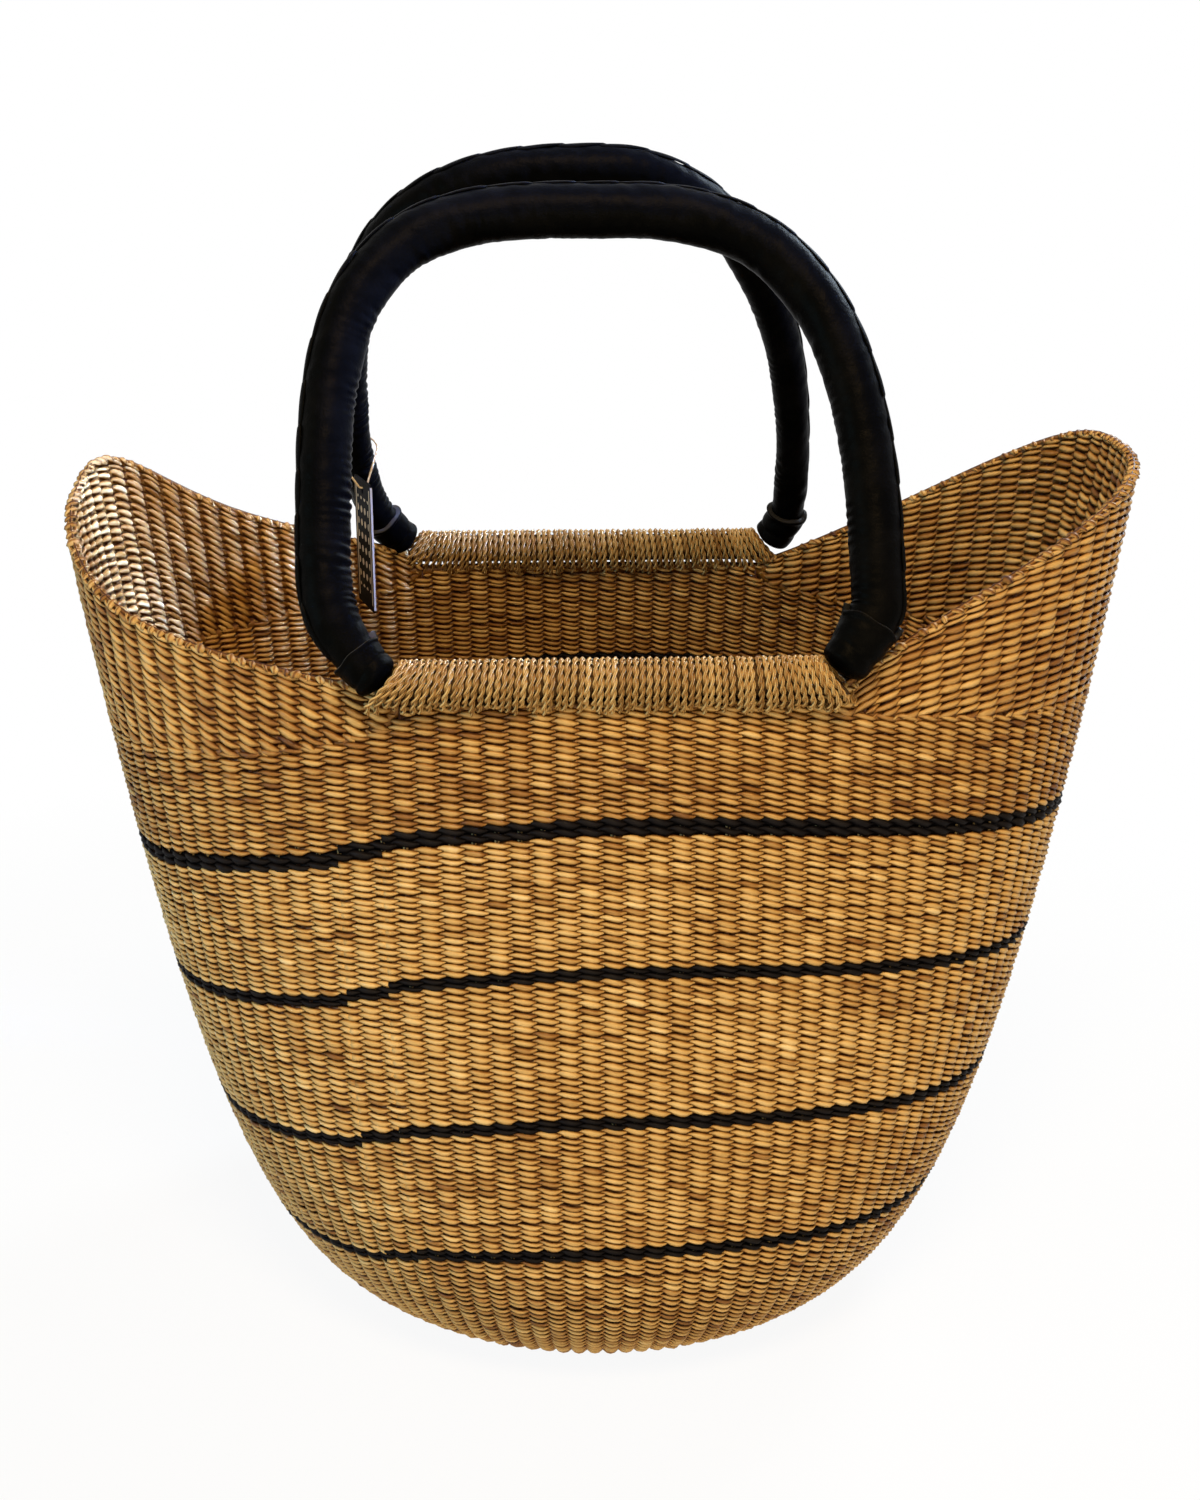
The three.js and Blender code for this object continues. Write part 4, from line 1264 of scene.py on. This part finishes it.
class TOTE_OT_covers(bpy.types.Operator):
    """Sew the creased leather covers of the handles"""

    bl_idname = "tote.covers"
    bl_label = "Handle covers"

    SIDES = 48
    CORE_SHARE = 0.7
    CORE_STEP = 3
    HIDDEN_END = 6
    WAVES = 0.00018
    WRINKLES = 0.0001
    # Creases: how they wander and sway, where they fade and how patchy they are
    CREASE_WANDER = 1.5
    CREASE_INNER = 2.2
    CREASE_SWAY = 0.5
    SWAY_PACE = 75
    CREASE_POWER = 0.8
    CREASE_SINK = 0.3
    BOW_SHARE = 0.15
    FADE_FROM = 0.3
    FADE_OVER = 0.6
    RIGHT_LESS = 0.7
    RIGHT_FROM = 0.4
    RIGHT_OVER = 0.2
    PATCH_DEPTH = 0.6
    PATCH_SPREAD = 0.5
    DEEPEST_PATCH = 1.3
    # Each ripple's number of waves, their shortest length along the tube and their most laps round it
    WAVE_RIPPLE = (8, 0.03, 3)
    WRINKLE_RIPPLE = (12, 0.006, 6)
    WANDER_RIPPLE = (7, 0.016, 3)
    PATCH_RIPPLE = (5, 0.018, 1)
    SEED = 300

    def execute(self, context):
        settings = context.scene.tote_leather
        packed = bpy.data.materials["packed grass"]
        leather = leather_finish("black leather", tuple(settings.colour))
        for index, name in enumerate(HANDLES):
            line = HandleLine(name)
            draw = np.random.default_rng(self.SEED + index)
            turn = 2 * np.pi * (np.arange(self.SIDES) + 0.5)[None, :] / self.SIDES
            run = line.run[:, None]
            radius = line.radius[:, None] + self.WAVES * ripple(draw, run, turn, *self.WAVE_RIPPLE)
            radius = radius + self.WRINKLES * ripple(draw, run, turn, *self.WRINKLE_RIPPLE)
            radius = radius + settings.crease * self.creases(draw, line, run, turn, settings.crease_pitch)
            way = np.cos(turn)[..., None] * line.out[:, None, :] + np.sin(turn)[..., None] * line.side_axis
            rings = line.centre[:, None, :] + radius[..., None] * way
            seen = slice(self.HIDDEN_END, -self.HIDDEN_END)
            piece = lofted_piece(f"{name}_leather_cover", rings[seen], leather, edge=0.0)
            settle_piece(piece, f"{name}_handle", "leather", f"{name}_handle_cover")
            core = line.centre[:, None, :] + self.CORE_SHARE * line.radius[:, None, None] * way
            core = core[seen][::self.CORE_STEP, ::self.CORE_STEP]
            piece = lofted_piece(f"packed_{name}_handle", core, packed)
            settle_piece(piece, f"{name}_handle", "grass_core", f"{name}_handle_core")
        return {"FINISHED"}

    def creases(self, draw, line, run, turn, pitch):
        """Short folds across the inside of the legs, fading toward the bow and fewer on the right leg."""
        wander = self.CREASE_WANDER * ripple(draw, run, turn, *self.WANDER_RIPPLE)
        fold = np.sin(2 * np.pi * run / pitch + wander)
        fold = np.abs(fold) ** self.CREASE_POWER * np.sign(fold) - self.CREASE_SINK
        sway = self.CREASE_SWAY * np.sin(run * self.SWAY_PACE)
        inner = np.maximum(np.cos(turn - np.pi + sway), 0.0) ** self.CREASE_INNER
        fade = 1 - smooth((line.rise / line.handle["rise"] - self.FADE_FROM) / self.FADE_OVER)
        side = 1 - self.RIGHT_LESS * smooth((run / line.run[-1] - self.RIGHT_FROM) / self.RIGHT_OVER)
        uneven = self.PATCH_SPREAD * ripple(draw, run, turn, *self.PATCH_RIPPLE)
        patch = np.clip(self.PATCH_DEPTH + uneven, 0.0, self.DEEPEST_PATCH)
        depth = self.BOW_SHARE + (1 - self.BOW_SHARE) * fade[:, None]
        return depth * side * inner * patch * fold


class TOTE_OT_lacings(bpy.types.Operator):
    """Lace the outer seams of the handles with overlapping stitches"""

    bl_idname = "tote.lacings"
    bl_label = "Laced seams"

    SIDES = 10
    STEPS = 14
    HALF_WIDTH = 0.0028
    LIFT = 0.0005
    THICKNESS = 0.0006
    CUFF_GAP = 0.004
    SLIDE = 0.0022
    ARCH = 60.0
    TIP_HIGHLIGHT = 0.06
    # One stitch: its run along the seam, its outline and its round tip, as shares of its length
    STRETCH = 1.22
    LAP = 0.12
    TURN_SPREAD = 3
    BODY_START = 0.12
    BODY_RUN = 0.8
    BODY_POWER = 0.7
    TIP_AT = 0.9
    TIP_RUN = 0.1
    TIP_LEAST = 0.04
    START_WIDTH = 0.4
    LIFT_PACE = 1.4
    LIFT_SIZES = (0.8, 1.2)
    WIDTH_SIZES = (0.9, 1.1)
    SEED = 320

    def execute(self, context):
        settings = context.scene.tote_leather
        leather = bpy.data.materials["black leather"]
        for index, name in enumerate(HANDLES):
            line = HandleLine(name)
            draw = np.random.default_rng(self.SEED + index)
            first = line.run_at(-1, line.handle["left"]["cuff"] + self.CUFF_GAP)
            last = line.run_at(1, line.handle["right"]["cuff"] + self.CUFF_GAP)
            count = round((last - first) / settings.lobe_pitch)
            pitch = (last - first) / count
            lobes = [self.lobe(line, draw, first + lobe * pitch, pitch) for lobe in range(count)]
            piece = self.join(f"{name}_laced_seam", lobes, leather)
            settle_piece(piece, f"{name}_handle", "leather", f"{name}_handle_lacing")
        return {"FINISHED"}

    def lobe(self, line, draw, start, pitch):
        """Rings of one stitch, arched over the seam, its round tip on top of the next stitch."""
        share = np.linspace(0.0, 1.0, self.STEPS)
        run = np.clip(start + pitch * (self.STRETCH * share - self.LAP), line.run[0], line.run[-1])
        centre, out, radius = line.at(run)
        turn = -line.handle["facing"] * math.radians(LACING_TURN + draw.normal(0, self.TURN_SPREAD))
        outward = out * math.cos(turn) - line.side_axis * math.sin(turn)
        ahead = unit(np.gradient(centre, axis=0))
        across = unit(np.cross(ahead, outward))
        body = np.sin(np.pi * (self.BODY_START + self.BODY_RUN * share)) ** self.BODY_POWER
        past = (share - self.TIP_AT) / self.TIP_RUN
        tip = np.where(share > self.TIP_AT, np.sqrt(np.maximum(1 - past ** 2, self.TIP_LEAST)), 1.0)
        tip[0] = self.START_WIDTH
        slide = (0.5 - share) * self.SLIDE * line.handle["facing"]
        height = radius + self.LIFT * smooth(share * self.LIFT_PACE) * draw.uniform(*self.LIFT_SIZES)
        angle = 2 * np.pi * np.arange(self.SIDES) / self.SIDES
        half_width = self.HALF_WIDTH * body * tip * draw.uniform(*self.WIDTH_SIZES)
        wide = half_width[:, None] * np.cos(angle) + slide[:, None]
        thick = self.THICKNESS * tip[:, None] * np.sin(angle) - self.ARCH * wide ** 2
        place = centre[:, None, :] + across[:, None, :] * wide[..., None]
        return place + outward[:, None, :] * (height[:, None] + thick)[..., None]

    def join(self, name, lobes, material):
        """One piece from all the stitches of a seam, each a closed tube."""
        bpy.ops.object.select_all(action="DESELECT")
        pieces = []
        for number, rings in enumerate(lobes):
            # Painted highlight: the last rings of each stitch take a little of the pale cut-edge colour
            wear_and_highlight = np.zeros(rings.shape[:2])
            wear_and_highlight[-2:] = self.TIP_HIGHLIGHT
            pieces.append(lofted_piece(f"{name}_{number}", rings, material, edge=wear_and_highlight))
        for piece in pieces:
            piece.select_set(True)
        bpy.context.view_layer.objects.active = pieces[0]
        bpy.ops.object.join()
        pieces[0].name = name
        return pieces[0]


class TOTE_OT_cuffs(bpy.types.Operator):
    """Fold the leather cuffs round the handles' feet"""

    bl_idname = "tote.cuffs"
    bl_label = "Cuffs"

    SIDES = 96
    RINGS = 44
    SEAT = 0.0003
    ROUND_END = 0.0042
    FOLD = 0.0007
    THICKNESS = 0.0013
    ROLL = 0.0007
    EAR = 0.004
    EAR_TURN = 0.17
    EAR_LIFT = 0.0008
    RAGGED = 0.0004
    WRINKLES = 0.00022
    EDGE = {"left": 0.8, "right": 0.2}
    # Where the cut edge, the roll and the fold lie, as shares of the cuff's length
    EDGE_AT = 0.97
    ROLL_AT = 0.93
    ROLL_RUN = 0.05
    EAR_POWER = 8
    FOLD_PLACES = (0.35, 0.55)
    FOLD_SWAY = 0.07
    FOLD_RUN = 0.05
    END_POWER = 2.6
    END_LEAST = 0.12
    TUCK = 0.0004
    # Each ripple's number of waves, their shortest length along the tube and their most laps round it
    RAGGED_RIPPLE = (4, 1.0, 6)
    WRINKLE_RIPPLE = (9, 0.007, 5)
    SEED = 340

    def execute(self, context):
        leather = bpy.data.materials["black leather"]
        for index, name in enumerate(HANDLES):
            line = HandleLine(name)
            for side, direction in (("left", -1), ("right", 1)):
                draw = np.random.default_rng(self.SEED + 2 * index + (direction > 0))
                rings, edge = self.rings(line, side, direction, draw)
                if direction > 0:
                    rings = rings[:, ::-1]
                piece = lofted_piece(f"{name}_{side}_leather_cuff", rings, leather, edge=edge)
                settle_piece(piece, f"{name}_handle", "leather", f"{name}_{side}_cuff")
        return {"FINISHED"}

    def rings(self, line, side, direction, draw):
        """Rings of one cuff from its round end to its rolled top, and how pale its cut edge is."""
        turn = 2 * np.pi * np.arange(self.SIDES) / self.SIDES
        share = np.linspace(0.0, 1.0, self.RINGS)
        top = line.run_at(direction, line.handle[side]["cuff"])
        length = top if direction < 0 else line.run[-1] - top
        ears = np.zeros_like(turn)
        for degrees in line.handle[side]["ears"]:
            away = np.angle(np.exp(1j * (turn - math.radians(degrees))))
            ears = ears + np.exp(-(away / self.EAR_TURN) ** 2)
        reach = length + self.EAR * ears + self.RAGGED * ripple(draw, 0.0, turn, *self.RAGGED_RIPPLE)
        run = share[:, None] * reach[None, :]
        run = run if direction < 0 else line.run[-1] - run
        centre, out, radius = line.at(run.ravel())
        shape = run.shape
        centre = centre.reshape(*shape, 3)
        out = out.reshape(*shape, 3)
        radius = radius.reshape(shape)
        roll = np.exp(-((share - self.ROLL_AT) / self.ROLL_RUN) ** 2)[:, None]
        lift = self.EAR_LIFT * ears * share[:, None] ** self.EAR_POWER
        thick = self.SEAT + self.THICKNESS + self.ROLL * roll + lift
        thick = thick + self.WRINKLES * ripple(draw, run, turn[None, :], *self.WRINKLE_RIPPLE)
        crook = share[:, None] - draw.uniform(*self.FOLD_PLACES)
        crook = crook - self.FOLD_SWAY * np.sin(turn + draw.uniform(0, 6))
        uneven = 0.6 + 0.4 * np.sin(turn * 2 + draw.uniform(0, 6))
        thick = thick - self.FOLD * np.exp(-(crook / self.FOLD_RUN) ** 2) * uneven
        full = radius + thick
        from_end = np.minimum(share[:, None] * reach[None, :] / self.ROUND_END, 1.0)
        full = full * np.sqrt(np.maximum(1 - (1 - from_end) ** self.END_POWER, self.END_LEAST))
        full[-1] = radius[-1] - self.TUCK
        way = np.cos(turn)[None, :, None] * out + np.sin(turn)[None, :, None] * line.side_axis
        edge = np.where(share > self.EDGE_AT, self.EDGE[side], 0.0)[:, None]
        return centre + full[..., None] * way, edge


# Hang tag

class TOTE_OT_tag(bpy.types.Operator):
    """Tie a plain printed card to a leg with twine"""

    bl_idname = "tote.tag"
    bl_label = "Hang tag"

    ARC_STEPS = 12
    HOLE_STEPS = 7
    OPEN_TURN = 0.08
    DOTS_PER_METRE = 160.0
    DOT_SIZE = 0.07
    FIELD = (0.66, 0.72)
    LINE_AT = 0.8
    LINE_HALF_WIDTH = 0.05
    LINE_END = 0.9
    RIM = 0.985
    CARD_SHINE = 0.01
    CARD_COLOUR = (0.005, 0.004, 0.003)
    INK_COLOUR = (0.62, 0.46, 0.28)
    RIM_COLOUR = (0.42, 0.31, 0.19)

    def execute(self, context):
        card = frame["nodes"]["hang_tag"]
        card.data.materials.clear()
        card.data.materials.append(self.card_finish())
        points = self.loop()
        curve = bpy.data.curves.new("tag_twine", "CURVE")
        curve.dimensions = "3D"
        curve.bevel_depth = STRING_DIAMETER / 2
        curve.bevel_resolution = 3
        curve.use_fill_caps = True
        spline = curve.splines.new("POLY")
        spline.points.add(len(points) - 1)
        for spot, point in zip(spline.points, points):
            spot.co = (*point, 1)
        twine = bpy.data.objects.new("tag_twine", curve)
        context.collection.objects.link(twine)
        curve.materials.append(self.twine_finish())
        settle_piece(twine, "tag", "tag_twine", "tag_string")
        return {"FINISHED"}

    def loop(self):
        """The twine's way round the leg, down through the card's hole and back to the leg."""
        joint = joints["tag_swing"]
        leg = np.array(joint["pos_m"])
        leg_axis = np.array(joint["axis"])
        level = math.cos(STRING_DROP)
        drop = math.sin(STRING_DROP)
        to_hole = np.array([math.cos(STRING_BEARING) * level, math.sin(STRING_BEARING) * level, -drop])
        across = unit(np.cross(leg_axis, to_hole))
        meet = math.acos((STRING_LEG_RADIUS - STRING_HOLE_RADIUS) / STRING_REACH)
        first = np.linspace(np.pi + self.OPEN_TURN, 2 * np.pi - meet, self.ARC_STEPS)
        last = np.linspace(meet, np.pi - self.OPEN_TURN, self.ARC_STEPS)
        hole = np.linspace(-meet, meet, self.HOLE_STEPS)
        ring = [STRING_LEG_RADIUS * np.stack([np.cos(t), np.sin(t)], axis=-1) for t in (first, last)]
        eye = STRING_HOLE_RADIUS * np.stack([np.cos(hole), np.sin(hole)], axis=-1) + [STRING_REACH, 0.0]
        flat = np.concatenate([ring[0], eye, ring[1]])
        return leg + flat[:, :1] * to_hole + flat[:, 1:] * across

    @staticmethod
    def twine_finish():
        finish = Finish("tag twine")
        strand = finish.noise(finish.place(), scale=1500.0)
        colour = finish.ramp(strand, TWINE_TONES)
        return finish.surface(base_color=colour, roughness=strand * 0.2 + 0.7,
                              normal=finish.bump(strand, strength=0.5, distance=0.0003))

    def card_finish(self):
        """Black card with a tan frame line and rows of tan dots."""
        finish = Finish("printed card")
        low, high = (np.array(corner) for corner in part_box("hang_tag"))
        turn = Matrix.Rotation(-TAG_BEARING, 3, "Z")
        shift = -(turn @ Vector((low + high) / 2))
        spot = finish.place(location=shift, rotation=(0, 0, -TAG_BEARING))
        parts = {"Vector": spot}
        across, down = (finish.node("ShaderNodeSeparateXYZ", None, parts, output=axis) for axis in "XZ")
        side = across.math("ABSOLUTE") * (2 / TAG_WIDTH)
        end = down.math("ABSOLUTE") * (2 / TAG_LENGTH)
        dot_x, dot_z = ((way * self.DOTS_PER_METRE).math("FRACT") - 0.5 for way in (across, down))
        dots = (dot_x * dot_x + dot_z * dot_z).math("LESS_THAN", self.DOT_SIZE)
        field = side.math("LESS_THAN", self.FIELD[0]) * end.math("LESS_THAN", self.FIELD[1])
        frame_line = (side - self.LINE_AT).math("ABSOLUTE").math("LESS_THAN", self.LINE_HALF_WIDTH)
        frame_line = frame_line * end.math("LESS_THAN", self.LINE_END)
        rim = side.math("GREATER_THAN", self.RIM)
        wear = finish.noise(finish.place(), scale=700.0, detail=3.0)
        ink = (dots * field + frame_line).math("MINIMUM", 1.0)
        colour = finish.mix(self.CARD_COLOUR, self.INK_COLOUR, ink)
        colour = finish.mix(colour, self.RIM_COLOUR, rim)
        return finish.surface(self.CARD_SHINE, base_color=colour, roughness=wear * 0.2 + 0.45,
                              normal=finish.bump(wear, strength=0.1, distance=0.0002))


# Stage and camera

CAMERA_AZIMUTH = math.radians(-2.7611)
CAMERA_PITCH = math.radians(19.688)
CAMERA_ROLL = math.radians(0.229)
CAMERA_PLACE = (-0.03847, -0.8081, 0.52868)
CAMERA_LENS = 45.72
CAMERA_SENSOR = 36


class TOTE_OT_stage(bpy.types.Operator):
    """Add the floor, the lamps, the world and the camera"""

    bl_idname = "tote.stage"
    bl_label = "Stage"

    GLOW = 0.92
    CLEAR_RADIUS = 0.5
    CLEAR_PACE = 0.4
    FLOOR_SIZE = 40
    FLOOR = (0.72, 0.72, 0.72)
    WORLD = 0.24
    SEEN_RAYS = ("Is Camera Ray", "Is Glossy Ray", "Is Transmission Ray")
    OPEN_SPREAD = 180
    # Each lamp's place, what it points at, its size, power, colour and spread in degrees
    LAMPS = {
        "room": ((0.2, -1.4, 0.3), (0, 0, 0.2), 0.6, 5.5, (1.0, 0.88, 0.66), OPEN_SPREAD),
        "ceiling": ((0.0, -0.9, 1.7), (0, 0, 0.25), 0.6, 27, (1.0, 0.76, 0.45), OPEN_SPREAD),
        "side": ((-1.5, -0.8, 0.6), (0, 0, 0.2), 0.8, 14, (0.25, 0.6, 1.0), OPEN_SPREAD),
        "window": ((1.1, 1.1, 1.25), (-0.2, 0, 0.33), 0.6, 30, (0.7, 0.85, 1.0), OPEN_SPREAD),
        "sunbeam": ((1.08, -0.13, 1.29), (-0.21, 0.02, 0.35), 0.24, 2.6, (0.15, 0.3, 1.0), 13),
    }

    def execute(self, context):
        self.camera(context)
        self.floor()
        self.world(context)
        for name, values in self.LAMPS.items():
            self.lamp(name, *values)
        context.scene.view_settings.view_transform = "Standard"
        return {"FINISHED"}

    @staticmethod
    def camera(context):
        forward = Vector((-math.sin(CAMERA_AZIMUTH) * math.cos(CAMERA_PITCH),
                          math.cos(CAMERA_AZIMUTH) * math.cos(CAMERA_PITCH), -math.sin(CAMERA_PITCH)))
        level = Vector((math.cos(CAMERA_AZIMUTH), math.sin(CAMERA_AZIMUTH), 0))
        upright = level.cross(forward)
        right = level * math.cos(CAMERA_ROLL) + upright * math.sin(CAMERA_ROLL)
        up = upright * math.cos(CAMERA_ROLL) - level * math.sin(CAMERA_ROLL)
        data = bpy.data.cameras.new("camera")
        data.sensor_fit = "VERTICAL"
        data.sensor_height = CAMERA_SENSOR
        data.lens = CAMERA_LENS
        camera = bpy.data.objects.new("camera", data)
        turn = Matrix((right, up, -forward)).transposed().to_4x4()
        camera.matrix_world = Matrix.Translation(CAMERA_PLACE) @ turn
        context.collection.objects.link(camera)
        context.scene.camera = camera

    def floor(self):
        """A pale floor that shows the camera white with the object's shadow on it."""
        bpy.ops.object.select_all(action="DESELECT")
        bpy.ops.mesh.primitive_plane_add(size=self.FLOOR_SIZE)
        floor = bpy.context.object
        floor.name = "floor"
        finish = Finish("floor")
        finish.surface(base_color=self.FLOOR, roughness=0.9)
        glow = finish.node("ShaderNodeEmission", None, {"Color": (1, 1, 1), "Strength": 1.0})
        length = {"operation": "LENGTH"}
        away = finish.node("ShaderNodeVectorMath", length, {0: finish.place()}, output="Value")
        clear = (away - self.CLEAR_RADIUS).math("MAXIMUM", 0.0) * self.CLEAR_PACE
        share = self.seen(finish) * (clear + self.GLOW).math("MINIMUM", 1.0)
        lit = Value(finish, finish.shader.outputs[0])
        mixed = finish.node("ShaderNodeMixShader", None, {0: share, 1: lit, 2: glow})
        finish.feed(finish.tree.nodes["Material Output"].inputs["Surface"], mixed)
        floor.data.materials.append(finish.material)

    def seen(self, nodes):
        """One where the camera looks, straight or by way of a mirror or glass."""
        rays = [nodes.node("ShaderNodeLightPath", output=ray) for ray in self.SEEN_RAYS]
        return (rays[0] + rays[1] + rays[2]).math("MINIMUM", 1.0)

    def world(self, context):
        """Soft light all round, white where the camera sees it."""
        world = bpy.data.worlds.new("studio")
        world.use_nodes = True
        nodes = Nodes(world.node_tree)
        soft = world.node_tree.nodes["Background"]
        nodes.feed(soft.inputs["Color"], (1, 1, 1))
        nodes.feed(soft.inputs["Strength"], self.WORLD)
        white = nodes.node("ShaderNodeBackground", None, {"Color": (1, 1, 1), "Strength": 1.0})
        lit = Value(nodes, soft.outputs[0])
        mixed = nodes.node("ShaderNodeMixShader", None, {0: self.seen(nodes), 1: lit, 2: white})
        nodes.feed(world.node_tree.nodes["World Output"].inputs["Surface"], mixed)
        context.scene.world = world

    def lamp(self, name, place, target, size, power, colour, spread):
        """A round area lamp; a narrow beam lights the straw but leaves no glint on the leather."""
        data = bpy.data.lights.new(name, "AREA")
        data.spread = math.radians(spread)
        data.shape = "DISK"
        data.size = size
        data.energy = power
        data.color = colour
        lamp = bpy.data.objects.new(name, data)
        lamp.location = place
        lamp.rotation_euler = (Vector(target) - Vector(place)).to_track_quat("-Z", "Y").to_euler()
        lamp.visible_glossy = spread == self.OPEN_SPREAD
        bpy.context.collection.objects.link(lamp)


class TOTE_PT_panel(bpy.types.Panel):
    """Lists the steps that dress the bag."""

    bl_label = "Tote bag"
    bl_idname = "TOTE_PT_panel"
    bl_space_type = "VIEW_3D"
    bl_region_type = "UI"
    bl_category = "Tote bag"

    def draw(self, context):
        for operator in OPERATORS:
            self.layout.operator(operator.bl_idname)
        for group, settings in SETTINGS.items():
            for name in settings.__annotations__:
                self.layout.prop(getattr(context.scene, group), name)


SETTINGS = {"tote_straw": StrawSettings, "tote_grips": GripSettings, "tote_leather": LeatherSettings}
OPERATORS = (
    TOTE_OT_stage, TOTE_OT_tag, TOTE_OT_bands, TOTE_OT_stripes, TOTE_OT_base, TOTE_OT_wings,
    TOTE_OT_borders, TOTE_OT_grips, TOTE_OT_covers, TOTE_OT_lacings, TOTE_OT_cuffs,
)


def register():
    for cls in (*SETTINGS.values(), *OPERATORS, TOTE_PT_panel):
        bpy.utils.register_class(cls)
    for name, group in SETTINGS.items():
        setattr(bpy.types.Scene, name, bpy.props.PointerProperty(type=group))


def unregister():
    for name in SETTINGS:
        delattr(bpy.types.Scene, name)
    for cls in (TOTE_PT_panel, *reversed(OPERATORS), *SETTINGS.values()):
        bpy.utils.unregister_class(cls)


def main():
    register()
    bpy.ops.tote.stage()
    bpy.ops.tote.tag()
    bpy.ops.tote.bands()
    bpy.ops.tote.stripes()
    bpy.ops.tote.base()
    bpy.ops.tote.wings()
    bpy.ops.tote.borders()
    bpy.ops.tote.grips()
    bpy.ops.tote.covers()
    bpy.ops.tote.lacings()
    bpy.ops.tote.cuffs()


if __name__ == "__main__":
    main()
